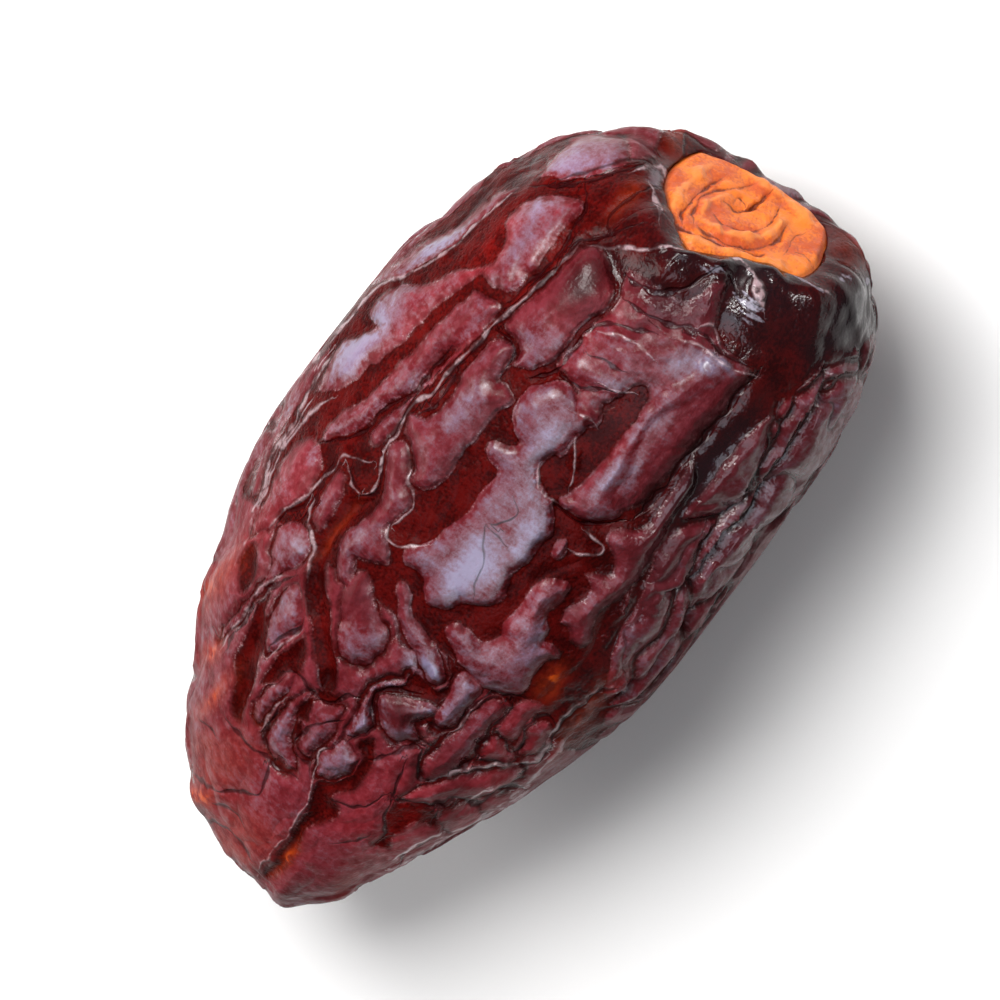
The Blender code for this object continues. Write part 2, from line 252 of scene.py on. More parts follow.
def node(tree, kind, settings=None, sockets=None, out=0):
    """Makes a node: its settings first, then the values or links of its sockets."""
    made = tree.nodes.new(kind)
    for name, setting in (settings or {}).items():
        setattr(made, name, setting)
    for name, item in (sockets or {}).items():
        feed(tree, made.inputs[name], item)
    return Value(tree, made.outputs[out])


def step_between(tree, value, low, high, start=0.0, end=1.0):
    """Turns low to high into start to end, smoothly, and holds it beyond them."""
    return node(tree, "ShaderNodeMapRange", {"interpolation_type": "SMOOTHSTEP"},
                {"Value": value, "From Min": low, "From Max": high, "To Min": start, "To Max": end})


# %% [markdown]
# ## The smooth fruit
#
# Under its folds the date is a blunt egg with a pointed tip, fuller on one flank. Each
# profile is a superellipse: an exponent of two is an ellipse, less is more pointed, more is
# blunter. A UV sphere has its poles where the tip and the stem are, so its rings are moved
# onto that shape. The rings are closer together on the upper side, which is seen most.

# %% Shape of the smooth fruit
HALF_LENGTH_STEM = 26.3
HALF_LENGTH_TIP = 27.5
HALF_WIDTH_LEFT = 14.4
HALF_WIDTH_RIGHT = 13.9
HALF_HEIGHT_TOP = 13.0
HALF_HEIGHT_BOTTOM = 13.3
MID_HEIGHT = 12.45
STEM_RISE = 4.7
# Each: the exponent towards the tip and the one towards the stem.
PROFILE_LEFT = (2.35, 3.7)
PROFILE_RIGHT = (1.35, 3.4)
PROFILE_TOP = (1.8, 2.5)
PROFILE_BOTTOM = (1.75, 2.15)
# The middle line's place across, as factors of one, of the place along and of its square.
CENTRE_Y = (1.5, 1.6, -1.9)
# Here, as a share of the half length, the rings start to lean until they are parallel to the seat.
LEAN_START = 0.35
# This brings the shape to its place in the frame.
BOX_SHIFT = np.array((-0.336, -1.886, 0.0))

SEGMENTS = 300
RINGS = 330
TOP_CROWDING = 0.5
MERIDIAN_SAMPLES = 1500

CAP_NORMAL = (0.952, 0.156, 0.264)
CAP_MEAN_RADIUS = 5.1
SEAT_DEPTH = 0.95
SEAT_GAP = 0.3
SEAT_WALL = 0.25
RIM_HEIGHT = 0.35
RIM_LIFT = 0.3
RIM_REACH = 4.2
# Between these distances from the stem pole the rings change from the cap's outline to the fruit's.
WARP_FADE = (6.2, 11.0)
SEAT_RINGS = 6
RIM_RINGS = 18
RIM_END = 8.0
# Each: degrees round the cap, then its radius.
CAP_OUTLINE = (
    (2, 5.0), (25, 4.85), (47, 4.95), (66, 5.75), (75, 6.2), (86, 5.3), (106, 4.3),
    (132, 4.3), (151, 5.4), (172, 5.25), (192, 5.2), (217, 5.75), (245, 4.95),
    (272, 4.7), (299, 5.3), (316, 6.0), (338, 5.35),
)
# Each: how many folds go round the seat, their phase and their height.
PUCKERS = ((9, 0.4, 0.1), (14, 1.9, 0.09), (21, 4.1, 0.06))


def profile(x, exponents):
    power = np.where(x < 0.0, exponents[0], exponents[1])
    return np.maximum(1.0 - np.abs(x) ** power, 0.0) ** (1.0 / power)


def seat_axes():
    normal = np.array(CAP_NORMAL) / np.linalg.norm(CAP_NORMAL)
    side = np.array((-normal[1], normal[0], 0.0))
    side /= np.linalg.norm(side)
    return normal, side, np.cross(normal, side)


def cap_radius(angle):
    turns = [entry[0] for entry in CAP_OUTLINE]
    radii = [entry[1] for entry in CAP_OUTLINE]
    return np.interp(np.degrees(angle) % 360.0, turns, radii, period=360.0)


def meridian(angle):
    """One line over the smooth fruit from the stem pole to the tip, in millimetres."""
    x = np.cos(np.linspace(0.0, math.pi, MERIDIAN_SAMPLES))
    wide = HALF_WIDTH_LEFT * profile(x, PROFILE_LEFT)
    if math.cos(angle) < 0.0:
        wide = HALF_WIDTH_RIGHT * profile(x, PROFILE_RIGHT)
    high = HALF_HEIGHT_TOP * profile(x, PROFILE_TOP)
    if math.sin(angle) < 0.0:
        high = HALF_HEIGHT_BOTTOM * profile(x, PROFILE_BOTTOM)
    across = wide * math.cos(angle)
    above = high * math.sin(angle)
    half = np.where(x < 0.0, HALF_LENGTH_TIP, HALF_LENGTH_STEM)
    normal = seat_axes()[0]
    lean = smooth(LEAN_START, 1.0, x)
    along = half * x - lean * (normal[1] * across + normal[2] * above) / normal[0]
    centre_y = CENTRE_Y[0] + CENTRE_Y[1] * x + CENTRE_Y[2] * x * x
    centre_z = MID_HEIGHT + STEM_RISE * np.maximum(x, 0.0) ** 3
    return np.stack((along, centre_y + across, centre_z + above), axis=1)


def smooth_fruit():
    """The sphere's mesh, and where each of its points goes: its place and its arc length."""
    foot = CAP_MEAN_RADIUS + SEAT_GAP
    seat_arcs = np.linspace(0.0, foot, SEAT_RINGS)
    wall_arcs = foot + SEAT_WALL * np.array((0.25, 0.5, 0.75, 1.0))
    rim_arcs = np.linspace(wall_arcs[-1], RIM_END, RIM_RINGS)[1:]
    near = np.concatenate((seat_arcs, wall_arcs, rim_arcs))
    turns = np.arange(SEGMENTS) * 2.0 * math.pi / SEGMENTS
    angles = turns + TOP_CROWDING * np.cos(turns)
    grid = np.zeros((RINGS + 1, SEGMENTS, 3))
    arcs = np.zeros((RINGS + 1, SEGMENTS))
    for column, angle in enumerate(angles):
        line = meridian(angle)
        steps = np.linalg.norm(np.diff(line, axis=0), axis=1)
        arc = np.concatenate(((0.0,), np.cumsum(steps)))
        rest = np.linspace(near[-1], arc[-1], RINGS + 2 - len(near))[1:]
        wanted = np.concatenate((near, rest))
        arcs[:, column] = wanted
        for axis in range(3):
            grid[:, column, axis] = np.interp(wanted, arc, line[:, axis])
    shape = bmesh.new()
    bmesh.ops.create_uvsphere(shape, u_segments=SEGMENTS, v_segments=RINGS, radius=1.0)
    ball = np.array([tuple(vert.co) for vert in shape.verts])
    rows = np.rint(np.arccos(np.clip(ball[:, 2], -1.0, 1.0)) / math.pi * RINGS).astype(int)
    columns = np.rint(np.arctan2(ball[:, 1], ball[:, 0]) / (2.0 * math.pi) * SEGMENTS).astype(int) % SEGMENTS
    return shape, grid[rows, columns], arcs[rows, columns]


fruit_shape, smooth_points, arc_lengths = smooth_fruit()
print("smooth fruit:", len(smooth_points), "points")

# %% [markdown]
# ## The drawn folds
#
# The big folds are what makes this date this date, so they are drawn one by one on a plane
# that faces the camera. Islands are the flat tops of the folds, where the skin has its grey
# waxy bloom with a painted sheen. Valleys are the deep red hollows between them. Creases are
# narrow cracks darkened with painted shade, and crests are sharp edges with a pale painted
# highlight. Each outline or line is one row of places, along the date and across it in turn,
# in tenths of a millimetre. Everything else is in millimetres.

# %% Drawn islands, valleys, creases and crests
# Islands. Each: height, share of bloom and painted sheen, then the outline.
ISLANDS = (
    (0.2, 0.62, (-21, 144, -10, 146, 6, 149, 15, 147, 22, 143, 29, 139, 34, 149, 48, 149, 59, 146, 64, 140,
        66, 134, 73, 131, 80, 128, 90, 119, 103, 109, 116, 112, 122, 119, 134, 119, 145, 115, 153, 107,
        158, 99, 161, 92, 153, 88, 135, 88, 112, 89, 94, 90, 90, 100, 92, 110, 86, 114, 70, 118, 56, 121,
        44, 123, 31, 123, 10, 129, -1, 131, -13, 136)),
    (0.25, 0.55, (-44, 124, -37, 126, -25, 127, -12, 122, 0, 120, 12, 119, 31, 116, 44, 117, 56, 114,
        72, 111, 81, 109, 84, 101, 84, 90, 70, 89, 55, 92, 48, 96, 42, 100, 28, 100, 12, 101, 4, 105,
        -7, 110, -20, 111, -30, 115, -38, 120)),
    (0.18, 0.3, (-28, 101, -22, 105, -12, 105, -5, 103, 4, 99, 12, 98, 31, 98, 49, 95, 54, 92, 45, 93.5,
        25, 95.5, 6, 96, -10, 95, -24, 95)),
    (0.16, 0.6, (46, 163, 62, 159, 82, 156, 106, 149, 127, 145, 137, 140, 145, 130, 125, 134, 92, 139.5,
        75, 145, 55, 152)),
    (0.15, 0.6, (158, 122, 170, 122, 188, 119, 200, 110, 204, 99, 200, 89, 194, 84, 184, 89, 174, 99,
        164, 109)),
    (0.15, 0.45, (194, 83, 206, 94, 213, 86, 217, 78, 211, 73, 203, 75)),
    (0.26, 0.42, (-9, 90, 0, 92, 4, 90, 5, 84, 20, 82, 28, 82, 38, 85, 50, 85, 62, 84, 69, 78, 71, 72,
        68, 68, 56, 66, 48, 64, 50, 58, 44, 51, 39, 51, 31, 54, 12, 54, -6, 54, -20, 55, -26, 56, -30, 61,
        -30, 70, -22, 71, -14, 79, -10, 85)),
    (0.24, 0.3, (58, 65, 69, 65, 74, 73, 76, 82, 90, 83, 112, 78, 129, 76, 140, 76, 145, 68, 142, 58,
        136, 50, 128, 42, 118, 40, 110, 44, 100, 46, 80, 46, 72, 49, 64, 55)),
    (0.34, 1.0, (-70, 42, -64, 46, -57, 42, -45, 38, -34, 35, -25, 31, -12, 32, 0, 31, 7, 33, 10, 42,
        14, 46, 20, 45, 22, 36, 28, 33, 32, 41, 38, 47, 46, 50, 54, 49, 60, 44, 68, 39, 71, 32, 70, 22,
        66, 13, 62, 8, 56, 7, 50, 10, 43, 9, 34, 12, 26, 14, 20, 12, 16, 8, 13, 2, 10, -5, 3, -12, -3, -16,
        -9, -14, -15, -13, -25, -14, -35, -11, -42, -15, -50, -16, -58, -13, -63, -7, -66, 1, -73, 4,
        -78, 9, -80, 15, -78, 21, -71, 26, -67, 31)),
    (0.3, 0.8, (-86, 0, -79, -2, -76, -10, -78, -20, -76, -26, -68, -30, -64, -26, -50, -26, -40, -25,
        -30, -26, -25, -30, -22, -35, -18, -40, -20, -44, -26, -44, -33, -44, -40, -41, -46, -44, -50, -49,
        -56, -50, -54, -56, -54, -62, -58, -65, -62, -60, -70, -58, -78, -60, -86, -60, -91, -56, -96, -50,
        -98, -42, -98, -34, -97, -23, -94, -16, -90, -8)),
    (0.22, 0.4, (-42, -51, -31, -49, -26, -52, -15, -52, -10, -46, -5, -51, 1, -57, 8, -51, 12, -42,
        19, -41, 25, -47, 32, -54, 44, -56, 65, -55, 80, -56, 70, -65, 40, -69, 8, -72, -10, -70, -20, -66,
        -31, -68, -39, -73, -46, -70, -46, -63, -42, -58)),
    (0.22, 0.9, (-15, -21, -3, -20, 0, -27, -12, -29)),
    (0.3, 0.85, (12, -8, 16, -5, 20, -10, 26, -12, 38, -13, 50, -12, 62, -13, 70, -12, 85, -13, 100, -12,
        112, -14, 122, -20, 129, -16, 133, -22, 134, -34, 130, -40, 120, -36, 104, -32, 90, -24, 74, -24,
        60, -26, 54, -29, 48, -32, 38, -30, 36, -35, 30, -41, 20, -33, 15, -23, 12, -15)),
    (0.1, 0.25, (44, -36, 54, -34, 70, -30, 90, -31, 110, -40, 126, -45, 110, -48, 80, -47, 54, -48,
        38, -44)),
    (0.1, 0.5, (75, 45, 90, 43, 106, 41, 120, 38, 132, 39, 143, 44, 145, 24, 146, 6, 154, -4, 155, -12,
        145, -19, 143, -34, 140, -49, 120, -50, 80, -49, 50, -47, 36, -42, 23, -34, 15, -24, 12, -12,
        15, -6, 22, -9, 36, -11, 52, -12, 70, -13, 86, -12, 97, -7, 92, 0, 82, 5, 74, 8, 72, 24)),
    (0.2, 0.8, (97, 26, 102, 31, 110, 23, 119, 12, 127, 2, 132, -5, 130, -12, 122, -17, 114, -10, 108, -3,
        102, 5, 98, 14)),
    (0.18, 0.7, (75, 41, 88, 40, 91, 30, 93, 20, 94, 10, 98, 3, 90, 3, 82, 11, 77, 19, 74, 30)),
    (0.12, 0.5, (122, 32, 129, 32, 131, 20, 132, 8, 128, 8, 124, 18)),
    (0.12, 0.75, (140, -1, 150, 2, 157, -4, 159, -9, 152, -11, 141, -9)),
    (0.3, 0.45, (-102, 68, -92, 75, -84, 80, -75, 80, -68, 77, -59, 75, -48, 77, -40, 80, -30, 87, -20, 91,
        -14, 90, -12, 86, -16, 79, -24, 73, -32, 69, -34, 64, -39, 60, -48, 61, -58, 64, -62, 61, -69, 54,
        -75, 49, -79, 52, -81, 60, -84, 65, -92, 62, -100, 58)),
    (0.2, 0.35, (-112, 126, -95, 129, -75, 134, -54, 138, -45, 132, -46, 125, -52, 117, -64, 113, -80, 115,
        -90, 118, -104, 118)),
    (0.2, 0.3, (-81, 102, -70, 105, -58, 106, -51, 108, -49, 104, -55, 98, -60, 94, -70, 93, -82, 92,
        -86, 94)),
    (0.12, 0.25, (-96, 142, -75, 148, -50, 153, -25, 157, 4, 154, -8, 150, -30, 148, -58, 147, -76, 143,
        -92, 137)),
    # Islands of the tip half.
    (0.24, 0.7, (-200, 5, -188, 12, -181, 8, -174, 7, -174, -2, -176, -9, -182, -9, -190, -7, -197, 0)),
    (0.3, 0.95, (-171, 8, -158, 9, -146, 11.5, -136, 11, -129, 7.5, -123, 1, -118, 0, -126, -2, -132, 5,
        -139, 8, -146, 7, -152, 2, -156, -2, -164, 1, -168, 3)),
    (0.26, 0.9, (-153, -6, -148, 0, -141, 4, -136, 3, -132, -5, -127, -14, -125, -22, -126, -28, -130, -25,
        -138, -21, -142, -22, -145, -28, -150, -23, -154, -19, -155, -13)),
    (0.27, 0.6, (-115, -12, -112, -4, -107, 4, -104, 14, -100, 23, -93, 30, -86, 37, -80, 39, -77, 34,
        -84, 27, -90, 19, -93, 8, -96, -3, -102, -13, -108, -19, -113, -18)),
    (0.2, 0.8, (-126, -26, -112, -24, -99, -25, -99, -39, -113, -39, -129, -37, -133, -30)),
    (0.12, 0.35, (-161, -41, -150, -38, -140, -41, -132, -42, -115, -43, -100, -47, -98, -56, -104, -58,
        -115, -57, -122, -58, -126, -55, -132, -58, -145, -55, -155, -51, -162, -46)),
    (0.1, 0.3, (-134, -62, -120, -60, -117, -66, -118, -76, -122, -80, -128, -72)),
    (0.1, 0.35, (-114, -61, -102, -61, -94, -60, -88, -68, -86, -76, -98, -74, -110, -75, -115, -69)),
    (0.12, 0.4, (-119, -80, -111, -81, -105, -78, -96, -78, -92, -82, -92, -86, -100, -88, -112, -87)),
    (0.18, 0.5, (-198, 53, -192, 59, -182, 60, -172, 59, -162, 58, -159, 53, -168, 50, -182, 51.5,
        -195, 51)),
    (0.18, 0.5, (-209, 32, -206, 41, -200, 45, -188, 45, -176, 45, -166, 43, -163, 39, -172, 39, -182, 37,
        -192, 33, -198, 28, -202, 22, -206, 17, -209, 23)),
    (0.16, 0.45, (-197, 16, -195, 24, -186, 30, -179, 35, -168, 36, -164, 31, -162, 23, -158, 18, -168, 15,
        -178, 13, -188, 16)),
    (0.2, 0.6, (-162, 75, -150, 82, -134, 87, -124, 88, -116, 86, -124, 76, -134, 70, -142, 67, -152, 69)),
    (0.2, 0.55, (-176, 104, -164, 104, -150, 104, -136, 102, -124, 103, -112, 109, -100, 113, -90, 110,
        -89, 102, -92, 94, -102, 89, -112, 93, -124, 99, -136, 100, -150, 101, -164, 100)),
    (0.16, 0.5, (-135, 40, -128, 46, -120, 50, -108, 59, -94, 62, -86, 58, -92, 49, -100, 38, -108, 26,
        -116, 20, -126, 22, -134, 29)),
    (0.12, 0.3, (-180, -41, -170, -45, -159, -52, -149, -59, -139, -68, -130, -78, -122, -87, -134, -89,
        -146, -81, -154, -73, -163, -66, -172, -58, -178, -49)),
    (0.1, 0.25, (-177, -64, -168, -65, -160, -71, -155, -79, -156, -86, -168, -84, -178, -78, -179, -70)),
    (0.1, 0.45, (32, 17, 46, 20, 62, 22, 80, 24, 96, 26, 101, 14, 94, 5, 85, 2, 78, 8, 70, 4, 62, 3, 55, 9,
        46, 8, 35, 9)),
)
# Valleys. Each: depth, then the outline.
VALLEYS = (
    (0.4, (-204, 61, -192, 65, -180, 70, -170, 74, -160, 78, -151, 83, -140, 92, -132, 96, -144, 96,
        -156, 92, -168, 89, -178, 88, -185, 81, -193, 76, -202, 70)),
    (0.3, (-143, 109, -135, 107, -125, 110, -115, 119, -120, 121, -128, 119, -135, 114)),
    (0.45, (-154, 29, -142, 38, -132, 47, -120, 58, -109, 69, -99, 77, -90, 82, -80, 83, -70, 81, -60, 77,
        -50, 79, -56, 86, -60, 91, -72, 91, -86, 89, -94, 90, -104, 84, -114, 79, -124, 72, -131, 62,
        -141, 53, -151, 45, -158, 36)),
    (0.3, (-266, -7, -252, -6, -236, -4, -220, -2, -206, 2, -199, 0, -192, -8, -174, -11, -172, -4,
        -166, -2, -162, -8, -170, -15, -182, -17, -194, -14, -204, -8, -209, -17, -216, -16, -228, -9,
        -246, -12, -264, -10)),
    (0.35, (-131, 3, -124, -2, -117, -2, -115, -8, -117, -18, -113, -22, -106, -22, -101, -16, -96, -10,
        -99, -22, -110, -24.5, -123, -23, -126, -14)),
    (0.2, (-210, -44, -200, -46, -192, -40, -183, -40, -178, -50, -174, -60, -180, -66, -184, -56,
        -198, -50, -206, -54)),
    (0.25, (-160, 37, -156, 30, -156, 22, -162, 24, -165, 31)),
    (0.2, (-182, 38, -170, 39, -165, 37, -172, 33, -180, 31)),
    (0.25, (-158, 68, -148, 64, -139, 62, -149, 54, -160, 52, -161, 59, -174, 61, -179, 65)),
)
# Creases and crests. Each: half width, depth or height, then the line.
CREASES = (
    (0.14, 0.2, (-177, 95, -172, 97, -161, 97, -148, 99, -139, 96, -132, 98, -125, 94, -117, 91, -114, 89)),
    (0.12, 0.2, (-162, 74, -155, 75, -146, 71, -139, 68, -132, 69)),
    (0.1, 0.15, (-172, 112, -174, 106)),
    (0.1, 0.12, (-218, 81, -219, 71, -220, 66)),
    (0.12, 0.15, (-207, 70, -210, 60, -212, 52, -211, 41, -212, 28, -209, 16)),
    (0.1, 0.15, (-244, 64, -246, 49, -242, 42, -237, 35, -231, 28, -220, 30, -211, 34)),
    (0.08, 0.1, (-261, 46, -260, 24, -264, 4)),
    (0.08, 0.1, (-251, 44, -250, 30, -252, 20)),
    (0.14, 0.2, (-209, 35, -205, 43, -200, 47, -188, 47, -181, 48)),
    (0.12, 0.15, (-164, 60, -159, 52, -163, 44, -163, 36, -164, 30, -160, 24, -152, 21, -148, 13)),
    (0.1, 0.12, (-193, 29, -180, 28, -174, 24, -166, 14)),
    (0.1, 0.12, (-200, 22, -199, 13, -202, 9)),
    (0.14, 0.2, (-170, 3, -164, 0, -157, -3, -152, 1, -147, 5, -140, 6.5, -133, 4, -129, -3, -124, -13)),
    (0.1, 0.15, (-144, -24, -144, -33, -142, -40)),
    (0.1, 0.15, (-135, -23, -134, -32, -130, -39, -114, -40.5, -99, -44, -95, -51, -90, -58, -89, -66)),
    (0.13, 0.2, (-172, -14, -164, -20, -158, -23, -152, -27, -148, -33, -160, -39, -163, -46, -155, -52,
        -145, -57, -132, -60, -126, -57, -122, -60, -115, -59, -102, -60, -95, -59)),
    (0.13, 0.2, (-182, -36, -179, -45, -174, -55, -170, -60, -161, -64, -157, -74, -155, -80, -142, -83,
        -135, -89, -129, -96)),
    (0.1, 0.15, (-209, -45, -200, -46, -192, -39, -182, -37, -170, -32, -160, -30)),
    (0.12, 0.2, (-154, -51, -144, -62, -135, -69, -128, -77, -120, -87, -115, -91, -101, -92, -92, -89,
        -80, -91, -64, -94, -50, -99)),
    (0.1, 0.15, (-135, -61, -129, -72, -123, -81)),
    (0.1, 0.15, (-116, -61, -116, -70, -120, -77, -111, -80, -105, -76, -97, -76, -90, -79, -89, -86)),
    (0.08, 0.1, (-179, -63, -170, -62, -162, -67)),
    (0.1, 0.12, (-220, -66, -208, -64, -192, -68, -182, -74)),
    (0.08, 0.1, (-225, -26, -216, -36, -206, -39)),
    (0.08, 0.1, (-206, -10, -202, -22, -192, -29, -182, -32)),
    # Cracks in the bloom of the largest island.
    (0.05, 0.05, (-58, -2, -52, 1, -44, 4, -35, 10, -25, 19, -20, 15, -12, 10, -5, 9, -1, 15)),
    (0.05, 0.05, (-25, 19, -24, 12, -25, 3)),
    (0.1, 0.15, (-100, 116, -88, 116, -80, 112, -70, 112, -66, 110, -52, 112, -46, 113)),
    (0.1, 0.15, (-90, 109, -81, 106, -70, 108, -60, 109, -50, 110)),
    (0.1, 0.15, (-46, 125, -40, 120, -32, 114, -22, 109, -8, 109, 4, 103, 13, 99.5, 30, 99, 44, 99)),
    (0.12, 0.2, (-56, 86, -50, 81, -42, 82, -32, 89, -20, 93)),
    (0.08, 0.15, (-53, 89, -50, 97, -46, 102, -42, 103)),
    (0.1, 0.15, (5, 88, 16, 86, 26, 86, 38, 88)),
    (0.1, 0.15, (70, 84, 72, 76, 70, 70, 66, 67, 56, 66)),
    (0.09, 0.15, (-28, 93, -10, 95, 14, 93, 49, 89, 75, 85, 93, 83.5, 119, 79, 138, 79, 146, 75, 153, 66,
        162, 54)),
    (0.1, 0.15, (88, 89, 110, 86, 130, 83, 146, 85, 160, 89, 170, 97)),
    (0.12, 0.15, (150, 123, 156, 112, 166, 103, 175, 95, 184, 87, 192, 81, 198, 76)),
    (0.08, 0.12, (160, 113, 172, 104, 184, 93, 194, 85, 202, 74)),
    (0.12, 0.18, (60, 51, 70, 44, 80, 42, 102, 42, 110, 37, 116, 30, 121, 18, 125, 10)),
    (0.1, 0.12, (71, 42, 72.5, 30, 75, 20, 81, 13, 85, 7)),
    (0.1, 0.12, (92, 34, 95, 25, 94, 18, 96, 10)),
    (0.12, 0.15, (130, 34, 132, 20, 134, 8, 138, -2, 140, -14)),
    (0.14, 0.2, (140, 42, 141, 25, 149, 12, 159, 2, 163, -9, 160, -20)),
    (0.12, 0.15, (136, -4, 140, -16, 140, -32, 144, -46)),
    (0.16, 0.25, (34, -48, 50, -51, 70, -51, 90, -52, 110, -52, 130, -52, 146, -52)),
    (0.1, 0.2, (11, -4, 10, -14, 13, -26, 20, -37, 30, -45)),
    (0.1, 0.15, (205, 62, 215, 61, 222, 59, 229, 53)),
    (0.1, 0.15, (154, 66, 160, 73, 170, 72, 180, 67, 190, 64, 200, 63)),
)
CRESTS = (
    (0.1, 0.12, (-132, 121, -120, 124, -100, 131, -90, 135, -80, 139, -70, 144, -58, 145, -45, 145,
        -30, 146, -20, 148, -8, 149, 2, 150)),
    (0.08, 0.1, (-100, 129, -80, 136, -62, 141, -50, 142, -38, 141, -25, 139, -18, 136)),
    (0.1, 0.12, (-24, 158, 4, 155, 30, 154, 46, 154, 60, 150, 75, 143, 93, 138.5, 121, 134, 147, 129)),
    (0.1, 0.2, (-28, 91, -18, 92.5, 6, 94, 19, 92, 38, 91.5, 48, 91, 62, 88, 75, 86, 91, 85, 112, 80.5,
        129, 78, 140, 77)),
    (0.1, 0.15, (143, 72, 148, 58, 153, 46, 160, 34, 169, 23, 178, 11, 185, 1, 190, -6, 193, -15, 195, -26,
        198, -40, 200, -58)),
    (0.1, 0.25, (-110, 81, -100, 87, -90, 94, -84, 102, -74, 109)),
    (0.05, 0.25, (-46, 110, -41, 109, -38, 101, -35, 95)),
    (0.05, 0.25, (-55, 87, -53, 94, -49, 100, -44, 105)),
    (0.09, 0.25, (-55, 86, -50, 83, -44, 84, -30, 90, -20, 93)),
    (0.08, 0.2, (-58, 64, -64, 59, -64, 51, -60, 45, -52, 38)),
    (0.07, 0.15, (-56, 63, -48, 60, -39, 59, -33, 63, -31, 70, -23, 73)),
    (0.07, 0.12, (-102, 119, -90, 118, -74, 114, -56, 110, -48, 110)),
    (0.06, 0.1, (-269, -2, -250, -1, -235, -1, -215, 2, -202, 6, -193, 10, -188, 13.5, -182, 10)),
    (0.07, 0.12, (-163, 72, -154, 71, -146, 68, -139, 66)),
    (0.06, 0.1, (-200, 49, -181, 49.5, -175, 48)),
    (0.07, 0.1, (-178, 99, -160, 100, -140, 102, -128, 100, -120, 95, -115, 90)),
    (0.06, 0.1, (-130, -40.5, -114, -42, -100, -43)),
    (0.12, 0.2, (-160, -49, -150, -54, -138, -64, -129, -74, -121, -84, -116, -89, -102, -90, -92, -87,
        -80, -89, -64, -92, -50, -98)),
    (0.13, 0.2, (-224, -57, -214, -61, -202, -63, -190, -66, -182, -71, -180, -76)),
    (0.15, 0.2, (-220, -61, -206, -69, -192, -74, -176, -79, -160, -86, -142, -92, -126, -98)),
    (0.11, 0.2, (-156, -74, -142, -77, -134, -88, -127, -95, -112, -97, -96, -96, -88, -99)),
    (0.07, 0.2, (-4, -30, -1, -38, 4, -45, 9, -42, 10, -35, 10, -30)),
    (0.08, 0.2, (12.5, -8, 11, 2, 16, 10, 25, 15)),
    (0.05, 0.15, (25, -7.5, 32, -4, 41, 2, 49, 9)),
    (0.1, 0.25, (129, -1, 134, -10, 135.5, -20, 135, -32, 138, -42, 141, -52)),
    (0.06, 0.1, (141, -10, 145, -16, 142, -25, 140, -30)),
    (0.22, 0.5, (167, 5, 172, -2, 174, -12, 171, -22, 166, -30, 163, -39)),
    (0.14, 0.3, (179, 42, 188, 49, 198, 54, 204, 61, 206, 70, 198, 74, 190, 79)),
    (0.2, 0.4, (170, 45, 176, 53, 183, 61, 190, 68)),
    (0.1, 0.25, (83, 16, 86, 6, 89, -2)),
    (0.1, 0.25, (62, 20, 64, 11, 62, 3)),
    (0.1, 0.2, (106, 36, 112, 24, 115, 11, 114, 0)),
)

# %% Spots
# Each: place along and across, reach along and across, strength. Here the orange glow of light through the
# flesh is painted.
PAINTED_GLOW_SPOTS = (
    (-7.2, -7, 1.1, 0.6, 1), (-25, -1, 1.3, 0.4, 0.8), (17.4, 7.2, 1.3, 0.5, 0.4),
    (-14.6, 12.5, 2.6, 0.7, 0.75), (-18.4, 10.3, 1, 0.6, 0.8), (-20.4, 8.4, 1.7, 0.5, 0.75),
    (-22.8, 7, 1, 0.9, 0.5), (-25.2, 5.2, 0.7, 1, 0.9), (-26.6, 2, 0.5, 2.6, 0.5),
    (-24.3, -4.6, 1.2, 0.6, 0.4), (-23.4, 5.4, 3, 2, 0.42), (-25.4, 2, 1.6, 3, 0.42),
    (22.6, 6.6, 1, 0.8, 0.6), (23.6, -5.6, 0.8, 1.6, 0.6), (-7.4, -9.6, 3, 0.5, 0.6),
    (-8.2, 8.6, 2, 0.25, 0.4),
)
# Here the outline is fuller or slimmer than the smooth fruit.
TRIM_SPOTS = (
    (-19.5, 10.8, 3.5, 2.5, -0.5), (-12.6, 14.2, 2.2, 1.6, -0.5), (16.5, 13.8, 3, 1.5, -0.5),
    (0, 15.9, 6, 2, 0.35), (24.8, -0.6, 1.5, 5, -0.95), (11.6, 15.2, 3.5, 2.2, -1),
    (21.8, 10.2, 1.5, 2, 0.4), (-25.6, 5.2, 1.4, 1.6, 0.45), (-24.8, -4.4, 1.6, 1.2, 0.3),
    (-27.2, -2.2, 0.9, 0.9, 0.3), (-26.8, 1, 1, 2, 0.2),
)
